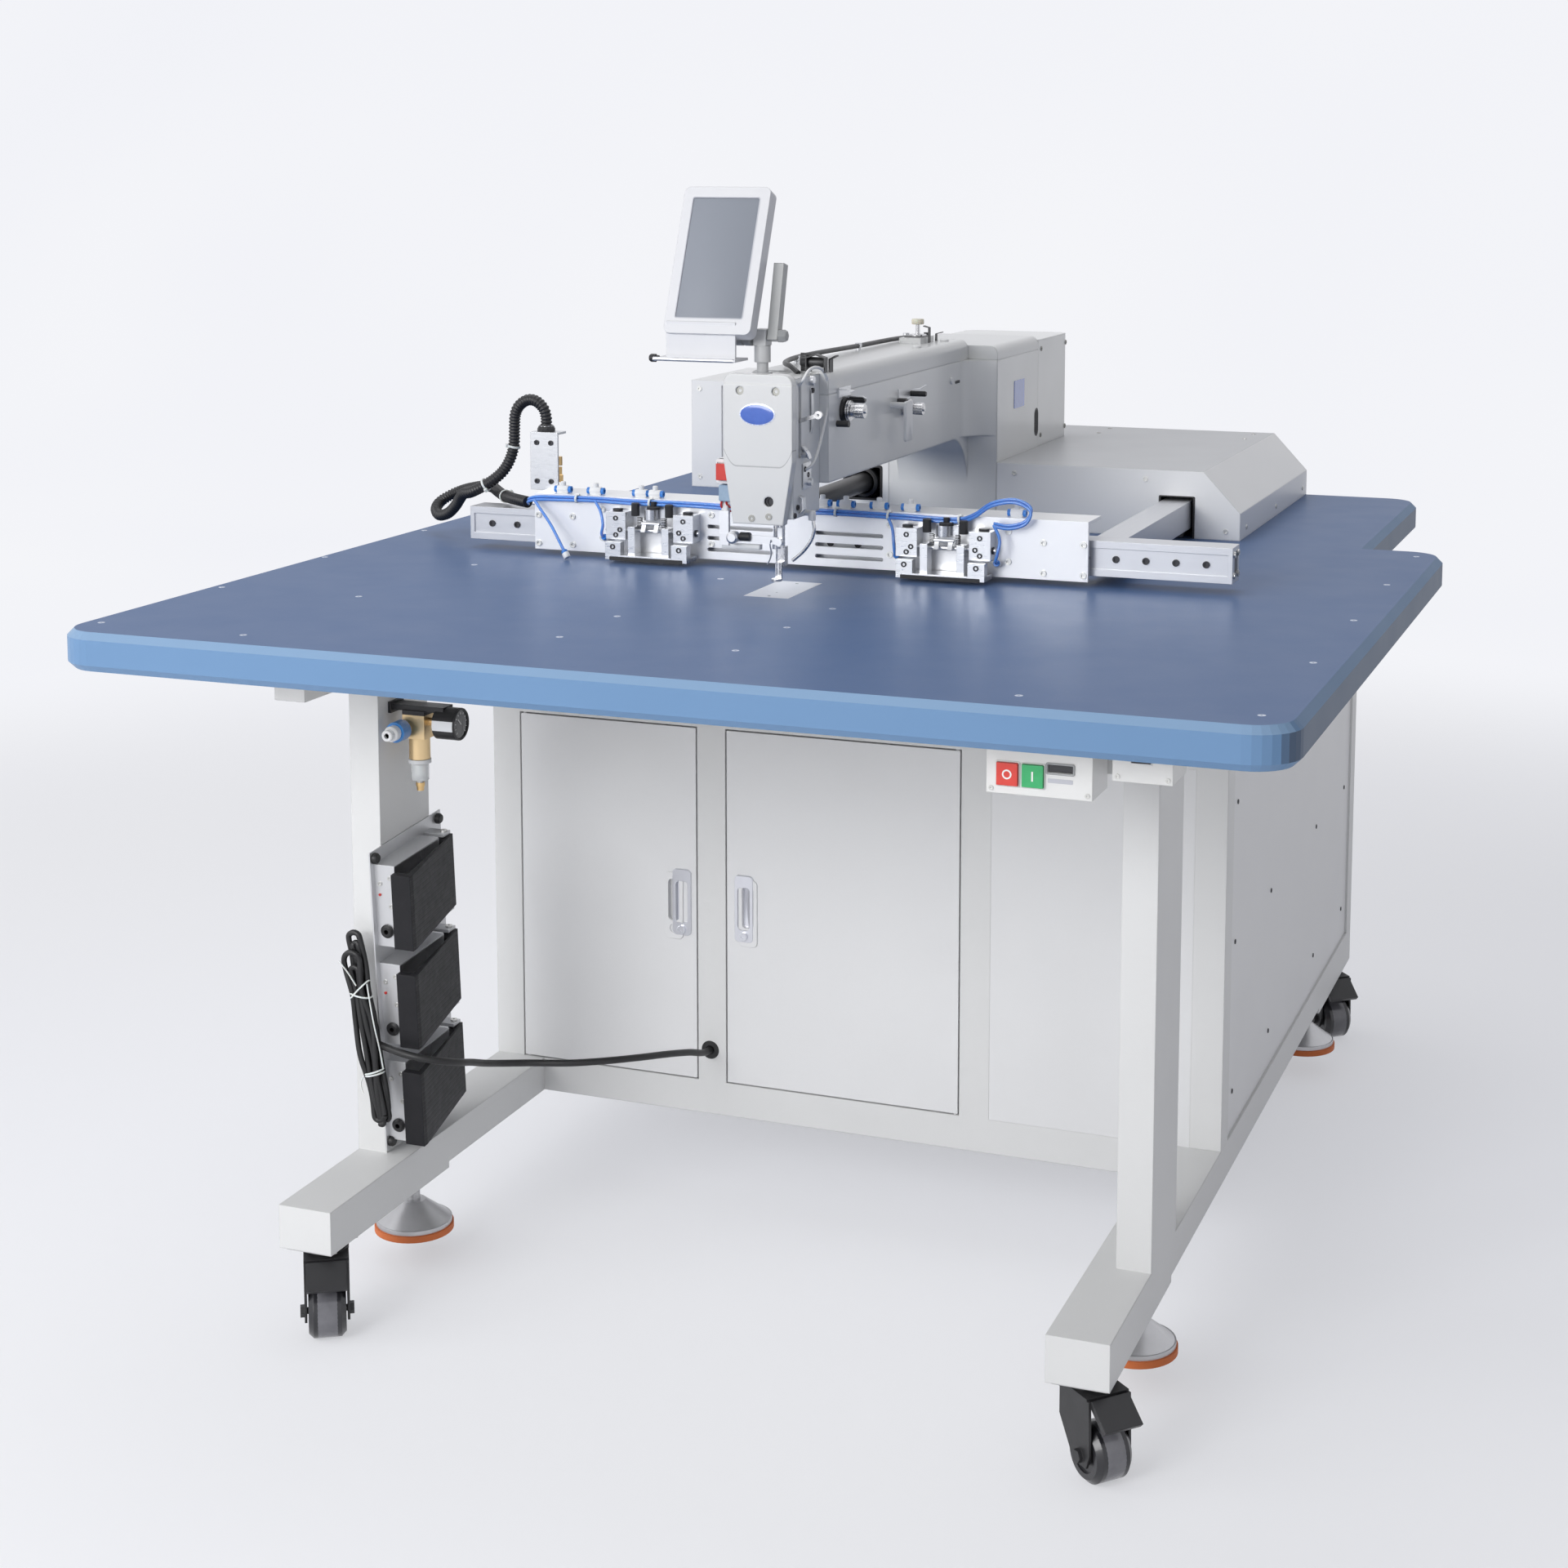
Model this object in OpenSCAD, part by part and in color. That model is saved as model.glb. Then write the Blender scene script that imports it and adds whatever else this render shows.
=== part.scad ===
// Large-area programmable pattern sewing machine on its table and cabinet stand.
// X runs along the table's front edge, Y to the back, Z up. The origin is on the floor,
// under the middle of the whole machine. Positions along Y are counted from the table's front edge.

/* [Table] */
// Width of the tabletop's front part
table_w = 1400; // [1300:10:1500]
// Depth of the wide front part
table_front_d = 1135; // [1120:5:1150]
// Depth of the whole tabletop
table_d = 1660; // [1640:5:1680]
// Width of the narrower rear part
table_rear_w = 1190; // [1100:10:1280]
// Height of the tabletop's surface above the floor
table_h = 860; // [830:5:900]
// Thickness of the tabletop
table_t = 45; // [36:1:50]
// Radius of the tabletop's corners
table_corner_r = 50; // [30:5:70]
// Size of the softened edge round the tabletop
table_edge = 8; // [4:1:12]

/* [Stand] */
// Width over the two side frames
stand_w = 1004; // [960:4:1060]
// Front end of the bottom beams
beam_front = 130; // [110:5:160]
// Rear end of the bottom beams
stand_rear = 1685; // [1675:5:1700]
// Width of a bottom beam
beam_w = 70; // [60:2:80]
// Height of a bottom beam
beam_h = 45; // [40:1:50]
// Width of a front leg
leg_w = 40; // [35:1:50]
// Depth of a front leg
leg_d = 120; // [100:5:130]
// Front face of the front legs
leg_front = 313; // [300:1:330]
// Height of the rails under the tabletop
rail_h = 50; // [40:2:55]
// Wall of the frame tubes
tube_wall = 2.5; // [1.5:0.5:4]
// Length of the plates under the beam ends
foot_plate_l = 285; // [270:5:300]
// Thickness of the plates under the beam ends
foot_plate_t = 8; // [6:1:10]

/* [Casters and feet] */
// Height of a caster below its plate
caster_h = 110; // [104:1:118]
// Radius of a caster wheel
wheel_r = 32; // [28:1:34]
// Width of a caster wheel
wheel_w = 44; // [36:1:46]
// Distance from swivel axis to wheel axle
caster_trail = 26; // [20:1:30]
// Radius of the rubber ring of a levelling foot
pad_r = 50; // [42:1:52]
// Gap between a raised levelling foot and the floor
pad_lift = 37; // [20:1:45]
// Radius of a levelling foot's stud
stud_r = 8; // [6:1:10]

/* [Cabinet] */
// Front face of the cabinet
cab_front = 685; // [670:5:700]
// Width of the frame's posts
post_w = 40; // [36:1:46]
// Width of the left door's opening
side_door_w = 260; // [250:2:266]
// Distance from the tabletop's surface down to the door openings
door_drop = 216; // [200:2:260]
// Height of the rail above the doors
door_rail_h = 80; // [60:2:90]
// Thickness of the cabinet's sheets
sheet = 1.5; // [1:0.5:2.5]
// Depth of a door's folded edge
door_d = 18; // [14:1:22]
// Gap round each door
door_gap = 2; // [1.5:0.5:3]
// Radius of the door's pivot pins
hinge_r = 2.5; // [2:0.5:3]
// Distance of the pivot axis from the door's edge and face
hinge_in = 4.2; // [4:0.1:5]

/* [Machine head] */
// Left-right place of the machine's centre line
head_x = -26; // [-40:1:0]
// Needle axis behind the table's front edge
needle_y = 525; // [515:1:535]
// Width of the arm
arm_w = 104; // [96:2:110]
// Height of the arm's underside above the table
arm_clear = 132; // [126:1:140]
// Height of the arm's casting above the table
arm_top = 240; // [235:1:245]
// Height of the arm's top cover
cover_h = 28; // [24:1:32]
// Left face of the column
column_left = -92; // [-95:1:-90]
// Right face of the column
column_right = 70; // [64:1:76]
// Front face of the column
column_front = 1135; // [1130:1:1140]
// Rear face of the column's cover
column_rear = 1517; // [1500:1:1530]
// Length of the rear cover on the column
motor_cover_l = 172; // [160:2:180]
// Width of the needle plate
plate_w = 58; // [54:1:62]
// Length of the needle plate
plate_l = 118; // [110:1:124]
// Radius of the needle bar
needle_bar_r = 3.6; // [3:0.1:4]
// Running clearance of bars and shafts in their bores
running = 0.05; // [0.02:0.01:0.1]

/* [Feed] */
// Length of the cross beam
beam_l = 1040; // [1000:10:1060]
// Left end of the cross beam
beam_left = -543; // [-555:1:-540]
// Front face of the cross beam
feed_y = 705; // [700:1:720]
// Height of the cross beam
xbeam_h = 44; // [40:1:46]
// Depth of the cross beam
xbeam_d = 40; // [36:1:44]
// Gap between table and cross beam
xbeam_gap = 13; // [10:1:16]
// Length of the clamp plate
clamp_plate_l = 759; // [720:1:780]
// Left end of the clamp plate at rest
clamp_plate_left = -438; // [-450:1:-430]
// Height of the clamp plate
clamp_plate_h = 75; // [70:1:78]
// Thickness of the clamp plate
clamp_plate_t = 5; // [4:0.5:6]
// Height of the drive cover above the table
drive_cover_h = 94; // [90:1:100]
// Right end of the drive cover
drive_cover_right = 420; // [410:2:440]
// Left end of the drive cover
drive_cover_left = -205; // [-220:1:-200]

/* [Control panel] */
// Width of the control panel
panel_w = 113; // [105:1:125]
// Length of the control panel
panel_l = 188; // [175:1:200]
// Thickness of the control panel
panel_t = 20; // [16:1:26]
// Backward tilt of the control panel
panel_tilt = 22.5; // [10:0.5:35]

/* [Pedals] */
// Width of the pedal bank's plate
bank_w = 175; // [165:1:185]
// Length of the pedal bank's plate
bank_l = 385; // [375:1:395]
// Lean of the pedal bank against the leg
bank_lean = 4; // [0:0.5:6]
// Width of one pedal
tread_w = 104; // [96:1:110]
// Length of one pedal
tread_l = 135; // [125:1:145]

/* [Hidden] */
$fn = 48;
eps = 0.01;

// ---- shared levels and places
T = table_h;
under = table_h - table_t;
door_top = T - door_drop;
beam_z = caster_h + foot_plate_t;
beam_top = beam_z + beam_h;
half_w = stand_w / 2;
cab_post_z = under - rail_h;
column_join = column_rear - motor_cover_l;

// Shifts positions counted from the table's front edge into the model's frame.
module placed() {
    translate([0, -stand_rear / 2, 0])
        children();
}

// A flat rounded rectangle with its centre at the origin.
module round_rect(w, d, r) {
    square([w - 2 * r, d], center = true);
    square([w, d - 2 * r], center = true);
    for (x = [-1, 1], y = [-1, 1])
        translate([x * (w / 2 - r), y * (d / 2 - r)])
            circle(r);
}

// A block given by its low corner and its high corner.
module block(low, high) {
    translate(low)
        cube(high - low);
}

// The same block, smaller by a wall on all sides.
module inner_block(low, high, wall) {
    block(low + [wall, wall, wall], high - [wall, wall, wall]);
}

// A cylinder along Y from a to b.
module bar_y(x, a, b, z, r) {
    translate([x, a, z])
        rotate([-90, 0, 0])
            cylinder(h = b - a, r = r);
}

// A cylinder along X from a to b.
module bar_x(a, b, y, z, r) {
    translate([a, y, z])
        rotate([0, 90, 0])
            cylinder(h = b - a, r = r);
}

// ---- stand
module side_tubes(wall) {
    outer = half_w;
    inner_block([outer - beam_w, beam_front, beam_z], [outer, stand_rear, beam_top], wall);
    inner_block([outer - leg_w, leg_front, beam_top - 3 * tube_wall],
                [outer, leg_front + leg_d, under - rail_h / 2], wall);
    inner_block([outer - leg_w, beam_front + 20, under - rail_h], [outer, stand_rear, under], wall);
}

module side_frame() {
    difference() {
        union() {
            side_tubes(0);
            block([half_w - beam_w, beam_front, caster_h], [half_w, beam_front + foot_plate_l, beam_z]);
            block([half_w - beam_w, stand_rear - foot_plate_l, caster_h], [half_w, stand_rear, beam_z]);
            for (y = caster_ys())
                caster_plate(y);
        }
        side_tubes(tube_wall);
        // the rear ends stay open
        block([half_w - beam_w + tube_wall, stand_rear - 10, beam_z + tube_wall],
              [half_w - tube_wall, stand_rear + 1, beam_top - tube_wall]);
        for (y = foot_ys())
            translate([half_w - beam_w / 2, y, caster_h - 1])
                cylinder(h = foot_plate_t + tube_wall + 2, r = stud_r + running);
    }
}

module side_frame_right() {
    color("gainsboro")
        placed()
            side_frame();
}

module side_frame_left() {
    color("gainsboro")
        placed()
            difference() {
                mirror([1, 0, 0])
                    side_frame();
                // seat of the left door's lower pivot pin
                translate([door_pivots()[0], cab_front + hinge_in, door_low - pin_seat])
                    cylinder(h = pin_seat + eps, r = hinge_r);
            }
}

// ---- casters and feet
function caster_ys() = [beam_front + 45, stand_rear - 45];
function foot_ys() = [beam_front + foot_plate_l - 30, stand_rear - foot_plate_l + 57];
caster_x = half_w - beam_w / 2;
caster_plate_t = 4;
king_r = 5;
fork_top = caster_h - caster_plate_t - 5;
fork_t = 3;
fork_gap = 1.5;
axle_r = 4;
// Resting direction of each caster, counted from +X
caster_turn_fl = -58;
caster_turn_fr = -42;
caster_turn_rl = -50;
caster_turn_rr = -50;

module caster_plate(y) {
    translate([caster_x, y, caster_h - caster_plate_t]) {
        translate([-30, -38, 0])
            cube([60, 76, caster_plate_t]);
        translate([0, 0, -4])
            cylinder(h = 4 + eps, r = 20);
        translate([0, 0, -14])
            cylinder(h = 14, r = king_r);
    }
}

module fork_body() {
    fork_w = wheel_w + 2 * fork_gap + 2 * fork_t;
    difference() {
        union() {
            translate([0, 0, fork_top - 5])
                cylinder(h = 5, r = 27);
            translate([-16, -fork_w / 2, fork_top - 10])
                cube([caster_trail + 28, fork_w, 8]);
            // two cheeks down to the axle
            for (s = [-1, 1])
                translate([caster_trail, s * (fork_w / 2 - fork_t / 2) + fork_t / 2, wheel_r])
                    rotate([90, 0, 0])
                        linear_extrude(height = fork_t)
                            polygon([[-12, -10], [12, -10], [18, 6], [16, fork_top - wheel_r - 4],
                                     [-caster_trail - 14, fork_top - wheel_r - 4], [-caster_trail - 14, 30]]);
            // brake hood over the wheel, with its pedal
            translate([0, -fork_w / 2 + fork_t, 0])
                rotate([90, 0, 0])
                    mirror([0, 0, 1])
                        linear_extrude(height = fork_w - 2 * fork_t)
                            polygon([[caster_trail + 16, fork_top - 3], [caster_trail + 44, fork_top - 26],
                                     [caster_trail + 39, fork_top - 31], [caster_trail + 14, fork_top - 10]]);
            // axle with its head and nut
            translate([caster_trail, fork_w / 2 + 4, wheel_r])
                rotate([90, 0, 0])
                    cylinder(h = fork_w + 8, r = axle_r);
            for (s = [-1, 1])
                translate([caster_trail, s * (fork_w / 2 + 2.5) + 2.5, wheel_r])
                    rotate([90, 0, 0])
                        cylinder(h = 5, r = 7.5, $fn = 6);
        }
        translate([0, 0, fork_top - 20])
            cylinder(h = 30, r = king_r + running);
    }
}

module wheel_body() {
    translate([caster_trail, 0, wheel_r])
        rotate([90, 0, 0])
            rotate_extrude($fn = 64)
                difference() {
                    translate([axle_r + running, -wheel_w / 2])
                        square([wheel_r - axle_r - running, wheel_w]);
                    // crowned tread
                    for (s = [-1, 1])
                        translate([wheel_r + 1, s * (wheel_w / 2 + 1)])
                            rotate(45)
                                square(11, center = true);
                    for (s = [-1, 1])
                        translate([16, s * wheel_w / 2])
                            square([8, 5], center = true);
                }
}

module at_caster(x_side, y_index, turn) {
    placed()
        translate([x_side * caster_x, caster_ys()[y_index], 0])
            rotate(turn)
                children();
}

module caster_fork_fl() {
    color("dimgray")
        at_caster(-1, 0, caster_turn_fl)
            fork_body();
}

module caster_fork_fr() {
    color("dimgray")
        at_caster(1, 0, caster_turn_fr)
            fork_body();
}

module caster_fork_rl() {
    color("dimgray")
        at_caster(-1, 1, caster_turn_rl)
            fork_body();
}

module caster_fork_rr() {
    color("dimgray")
        at_caster(1, 1, caster_turn_rr)
            fork_body();
}

module caster_wheel_fl() {
    color("darkslategray")
        at_caster(-1, 0, caster_turn_fl)
            wheel_body();
}

module caster_wheel_fr() {
    color("darkslategray")
        at_caster(1, 0, caster_turn_fr)
            wheel_body();
}

module caster_wheel_rl() {
    color("darkslategray")
        at_caster(-1, 1, caster_turn_rl)
            wheel_body();
}

module caster_wheel_rr() {
    color("darkslategray")
        at_caster(1, 1, caster_turn_rr)
            wheel_body();
}

module levelling_foot() {
    ring_h = 8;
    rim_h = 6;
    cone_h = 24;
    translate([0, 0, pad_lift]) {
        cylinder(h = ring_h, r = pad_r);
        translate([0, 0, ring_h])
            cylinder(h = rim_h, r = pad_r - 2);
        translate([0, 0, ring_h + rim_h])
            cylinder(h = cone_h, r1 = pad_r - 4, r2 = stud_r + 7);
        translate([0, 0, ring_h])
            cylinder(h = beam_z - pad_lift - ring_h + 12, r = stud_r);
    }
    // lock nut under the plate
    translate([0, 0, caster_h - 8])
        cylinder(h = 8, r = stud_r * 1.7, $fn = 6);
}

module levelling_feet() {
    color("slategray")
        placed()
            for (x = [-caster_x, caster_x], y = foot_ys())
                translate([x, y, 0])
                    levelling_foot();
}

// ---- cabinet
side_open = half_w - post_w;
mid_post_l = -side_open + side_door_w;
mid_post_r = side_open - side_door_w - post_w;
door_low = beam_top;
cab_rear = stand_rear;
grommet_x = mid_post_l + post_w / 2 - 3;
grommet_z = 206;
grommet_r = 5;

module frame_bars(wall) {
    deep = post_w;
    back = cab_rear - deep;
    // corner posts stand on the beams and carry the upper rails
    for (x = [-half_w, side_open], y = [cab_front, back])
        inner_block([x, y, beam_top], [x + post_w, y + deep, cab_post_z], wall);
    for (x = [mid_post_l, mid_post_r])
        inner_block([x, cab_front, beam_z], [x + post_w, cab_front + deep, door_top + door_rail_h], wall);
    for (y = [cab_front, back]) {
        inner_block([-half_w + beam_w, y, beam_z], [half_w - beam_w, y + deep, door_low], wall);
        inner_block([-half_w, y, door_top], [half_w, y + deep, door_top + door_rail_h], wall);
    }
}

module cabinet_frame() {
    color("gainsboro")
        placed()
            difference() {
                frame_bars(0);
                frame_bars(tube_wall);
                bar_y(grommet_x, cab_front - 1, cab_front + post_w + 1, grommet_z, grommet_r);
                // seats of the doors' pivot pins
                for (x = door_pivots(), z = [door_low - pin_seat, door_top - eps])
                    translate([x, cab_front + hinge_in, z])
                        cylinder(h = pin_seat + eps, r = hinge_r);
            }
}

// Pivot axes of the left and the centre door
pin_seat = 10;
function door_pivots() = [-side_open + door_gap + hinge_in, mid_post_r - door_gap - hinge_in];

module panel_tray(w, h) {
    difference() {
        cube([w, door_d, h]);
        translate([sheet, sheet, sheet])
            cube([w - 2 * sheet, door_d, h - 2 * sheet]);
    }
}

module cabinet_panels() {
    color("whitesmoke")
        placed() {
            for (s = [-1, 1])
                translate([s * (half_w - 3 - sheet / 2), 0, 0])
                    block([-sheet / 2, cab_front + post_w, beam_top],
                          [sheet / 2, cab_rear - post_w, under - rail_h]);
            block([-side_open, cab_rear - 3 - sheet, beam_top], [side_open, cab_rear - 3, door_top]);
            // floor between the front and the rear rail
            block([-half_w + beam_w, cab_front + post_w, beam_z],
                  [half_w - beam_w, cab_rear - post_w, beam_z + sheet]);
            // strips that close the front and the back up to the tabletop, notched for the machine's bed
            difference() {
                for (y = [cab_front, cab_rear - sheet])
                    block([-half_w + leg_w, y, door_top + door_rail_h], [half_w - leg_w, y + sheet, under]);
                block([head_x - bed_w / 2 - door_gap, cab_front - 1, bed_low - door_gap],
                      [head_x + bed_w / 2 + door_gap, cab_front + sheet + 1, under + 1]);
            }
            // fixed front panel on the right
            translate([mid_post_r + post_w, cab_front, door_low])
                panel_tray(side_open - mid_post_r - post_w, door_top - door_low);
        }
}

// Recessed pull near a door's free edge
pull_w = 26;
pull_h = 90;
pull_z = 399;
pull_edge = 38;
hinge_block = 16;

module pull_plate() {
    rotate([90, 0, 0])
        difference() {
            translate([0, 0, -7])
                linear_extrude(height = 9)
                    round_rect(pull_w, pull_h, 6);
            translate([0, 8, -5])
                linear_extrude(height = 10)
                    round_rect(pull_w - 10, pull_h - 34, 5);
            translate([0, -pull_h / 2 + 14, 0.5])
                cylinder(h = 5, r = 6);
        }
}

module door(w, h, pull_x, pivot_x) {
    difference() {
        union() {
            panel_tray(w, h);
            // hinge blocks hold the pins
            for (z = [0, h - hinge_block])
                translate([pivot_x - hinge_in, 0, z])
                    cube([2 * hinge_in, door_d, hinge_block]);
        }
        translate([pull_x, 0, pull_z - door_low - door_gap])
            rotate([90, 0, 0])
                translate([0, 0, -sheet - 1])
                    linear_extrude(height = sheet + 2)
                        round_rect(pull_w - 4, pull_h - 4, 5);
    }
    translate([pull_x, 0, pull_z - door_low - door_gap])
        pull_plate();
    // pivot pins reach into the rails below and above
    pin_l = door_gap + pin_seat - 1;
    for (z = [-pin_l, h - 1])
        translate([pivot_x, hinge_in, z])
            cylinder(h = pin_l + 1, r = hinge_r - running);
}

module door_left() {
    color("whitesmoke")
        placed()
            translate([-side_open + door_gap, cab_front, door_low + door_gap])
                door(side_door_w - 2 * door_gap, door_top - door_low - 2 * door_gap,
                     side_door_w - 2 * door_gap - pull_edge / 2 - pull_w / 2, hinge_in);
}

module door_centre() {
    w = mid_post_r - mid_post_l - post_w - 2 * door_gap;
    color("whitesmoke")
        placed()
            translate([mid_post_l + post_w + door_gap, cab_front, door_low + door_gap])
                door(w, door_top - door_low - 2 * door_gap, pull_edge / 2 + pull_w / 2 - 2, w - hinge_in);
}

servo_size = [240, 220, 300];
servo_low = [-90, cab_front + 380, beam_z + sheet];

module servo_box() {
    // motor drive unit, screwed to the cabinet's floor
    color("silver")
        placed()
            block(servo_low, servo_low + servo_size);
}

// ---- tabletop
module table_slab(grow, z0, z1) {
    translate([0, table_front_d / 2, z0])
        linear_extrude(height = z1 - z0)
            round_rect(table_w + 2 * grow, table_front_d + 2 * grow, table_corner_r + grow);
}

module rear_slab(grow, z0, z1) {
    start = table_front_d - 4 * table_corner_r;
    translate([0, (table_d + start) / 2, z0])
        linear_extrude(height = z1 - z0)
            round_rect(table_rear_w + 2 * grow, table_d - start + 2 * grow, table_corner_r + grow);
}

module tabletop() {
    color("steelblue")
        placed()
            difference() {
                union() {
                    hull() {
                        table_slab(-table_edge, under, T, $fn = 32);
                        table_slab(0, under + table_edge, T - table_edge, $fn = 32);
                    }
                    hull() {
                        rear_slab(-table_edge, under, T, $fn = 32);
                        rear_slab(0, under + table_edge, T - table_edge, $fn = 32);
                    }
                }
                // groove for the machine's bed
                block([head_x - bed_w / 2 - 1, plate_y - 31, under - 1],
                      [head_x + bed_w / 2 + 1, column_join - 19, T - bed_cover]);
                // cut-out of the needle plate
                block([head_x - plate_w / 2 - 0.3, plate_y - 0.3, under - 1],
                      [head_x + plate_w / 2 + 0.3, plate_y + plate_l + 0.3, T + 1]);
                // cut-out of the column's foot
                block([column_left + 15, column_front + 15, under - 1],
                      [column_right - 15, column_join - 15, T + 1]);
            }
}

// ---- sewing machine
plate_y = needle_y - 37;
plate_t = 3;
bed_w = 112;
bed_low = door_top + door_rail_h + 8;
bed_wall = 9;
bed_cover = 18;
shaft_z = T + arm_top - 38;
shaft_r = 8;
hook_r = 20;
hook_z = T - bed_cover - bed_wall - shaft_r - 1;
hook_y = needle_y + 14;

module needle_plate() {
    color("silver")
        placed()
            difference() {
                block([head_x - plate_w / 2, plate_y, T - plate_t],
                      [head_x + plate_w / 2, plate_y + plate_l, T]);
                translate([head_x, needle_y, T - plate_t - 1])
                    cylinder(h = plate_t + 2, r = 1.6);
                for (y = [plate_y + 12, plate_y + plate_l - 12])
                    translate([head_x, y, T - plate_t - 1])
                        cylinder(h = plate_t + 2, r = 2.4);
            }
}

module bed_casting() {
    low = [head_x - bed_w / 2, plate_y - 30, bed_low];
    high = [head_x + bed_w / 2, column_join - 20, T - bed_cover];
    color("lightgray")
        placed()
            difference() {
                union() {
                    block(low, high);
                    // nose under the needle plate
                    block([head_x - plate_w / 2, plate_y, T - bed_cover - eps],
                          [head_x + plate_w / 2, plate_y + plate_l, T - plate_t]);
                    // foot that carries the column
                    block([column_left + 17, column_front + 17, T - bed_cover - eps],
                          [column_right - 17, column_join - 17, T]);
                }
                block(low + [bed_wall, bed_wall, -1], high - [bed_wall, 60, bed_wall]);
                block([head_x - plate_w / 2 + 6, plate_y + 6, T - bed_cover - bed_wall - 1],
                      [head_x + plate_w / 2 - 6, plate_y + plate_l - 6, T]);
                bar_y(head_x, high[1] - 61, high[1] + 1, hook_z, shaft_r + running);
            }
}

module hook() {
    // rotating hook with its bobbin and the shaft that drives it
    color("silver")
        placed()
            difference() {
                union() {
                    bar_y(head_x, hook_y + 10, column_join - 22, hook_z, shaft_r);
                    bar_y(head_x, hook_y - 10, hook_y + 16, hook_z, hook_r);
                    bar_y(head_x, hook_y - 14, hook_y - 10 + eps, hook_z, hook_r - 7);
                }
                for (a = [0 : 60 : 300])
                    bar_y(head_x + 9 * cos(a), hook_y - 15, hook_y - 8, hook_z + 9 * sin(a), 1.8);
            }
}

head_w = 80;
head_front = 478;
head_back = 566;
head_low = T + 98;
head_top = T + arm_top + 26;
arm_low = T + arm_clear;
arm_wall = 8;
guide_top = T + 222;
presser_y = needle_y + 20;
presser_r = 3;

module arm_shape() {
    // head
    block([head_x - head_w / 2, head_front, head_low], [head_x + head_w / 2, head_back, head_top]);
    // arm
    block([head_x - arm_w / 2, head_back - eps, arm_low],
          [head_x + arm_w / 2, column_front + eps, T + arm_top]);
    // column
    block([column_left, column_front, T], [column_right, column_join, T + arm_top]);
    // soft corner between the arm's side and the column's front
    flare = column_right - head_x - arm_w / 2;
    translate([head_x + arm_w / 2, column_front - flare, arm_low])
        linear_extrude(height = T + arm_top - arm_low)
            difference() {
                translate([-eps, 0])
                    square([flare + eps, flare + eps]);
                translate([flare, 0])
                    circle(flare);
            }
    // soft corner between the arm's underside and the column's front
    under_r = 70;
    translate([head_x - arm_w / 2, column_front - under_r, arm_low - under_r])
        rotate([90, 0, 90])
            linear_extrude(height = arm_w)
                difference() {
                    square([under_r + eps, under_r + eps]);
                    circle(under_r);
                }
    // wiper bracket below the head
    block([head_x - 60, needle_y - 30, T + 60], [head_x - 52, needle_y - 22, head_low + 20]);
    block([head_x - 60, needle_y - 30, head_low + 12], [head_x - head_w / 2 + 1, needle_y - 22, head_low + 20]);
    block([head_x - 60, needle_y - 30, T + 56], [head_x - 10, needle_y - 22, T + 62]);
    // housing of the halt button on the head's left
    block([halt_x - 11, head_front + 9, halt_z - 15], [head_x - head_w / 2 + 1, head_front + 32, halt_z + 15]);
}

module arm_casting() {
    color("gainsboro")
        placed()
            difference() {
                arm_shape();
                // open front of the head, behind its face cover
                block([head_x - head_w / 2 + arm_wall, head_front - 1, head_low + 14],
                      [head_x + head_w / 2 - arm_wall, head_back - 14, guide_top]);
                // arm and column are open to the top, under the arm cover
                block([head_x - arm_w / 2 + arm_wall, head_back + 14, arm_low + arm_wall],
                      [head_x + arm_w / 2 - arm_wall, column_front + 10, T + arm_top + 1]);
                block([column_left + arm_wall, column_front + 26, T + 20],
                      [column_right - arm_wall, column_join - 12, T + arm_top + 1]);
                // bores of the main shaft
                bar_y(head_x, head_back - 30, column_join + 1, shaft_z, shaft_r + running);
                // bores of the needle bar and the presser bar
                translate([head_x, needle_y, head_low - 1])
                    cylinder(h = head_top - head_low + 20, r = needle_bar_r + running);
                translate([head_x, presser_y, head_low - 1])
                    cylinder(h = 40, r = presser_r + running);
                // slot of the take-up lever
                block([head_x + head_w / 2 - arm_wall - 1, take_up_y - 4, T + 170],
                      [head_x + head_w / 2 + 1, take_up_y + 4, T + 258]);
                // bore of the take-up pin
                bar_y(take_up_x, take_up_y + 3, head_back - 5, take_up_z, 3);
                // guide of the halt button
                bar_y(halt_x, head_front + 8, head_front + 24, halt_z, 6);
                // seats of both tension studs and of the panel's post
                for (p = tension_places())
                    bar_x(head_x + arm_w / 2 - arm_wall - 1, head_x + arm_w / 2 + 1, p[0], p[1], 3 + running);
                translate([post_x, post_y, head_top - 13])
                    cylinder(h = 14, r = post_r);
            }
}

take_up_y = needle_y - 25;
take_up_x = head_x + 20;
take_up_z = T + 208;

module take_up_lever() {
    reach = 46;
    color("silver")
        placed()
            translate([take_up_x, take_up_y, take_up_z]) {
                rotate([90, 0, 0])
                    translate([0, 0, -2])
                        linear_extrude(height = 4)
                            difference() {
                                union() {
                                    circle(6);
                                    rotate(18)
                                        translate([0, -2.5])
                                            square([reach, 5]);
                                    rotate(18)
                                        translate([reach, 0])
                                            circle(5);
                                }
                                rotate(18)
                                    translate([reach, 0])
                                        circle(1.5);
                            }
                // pivot pin in the head
                rotate([-90, 0, 0])
                    cylinder(h = head_back - 6 - take_up_y, r = 3 - running);
            }
}

module needle_bar() {
    color("silver")
        placed()
            translate([head_x, needle_y, 0]) {
                translate([0, 0, T + 66])
                    cylinder(h = head_top - T - 68, r = needle_bar_r);
                translate([0, 0, T + 54])
                    cylinder(h = 14, r = needle_bar_r + 1.6);
                translate([0, 0, T + 20])
                    cylinder(h = 36, r = 0.9);
                // clamp block that the crank drives, inside the head
                translate([-9, -6, T + 186])
                    cube([18, 12, 16]);
            }
}

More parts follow.
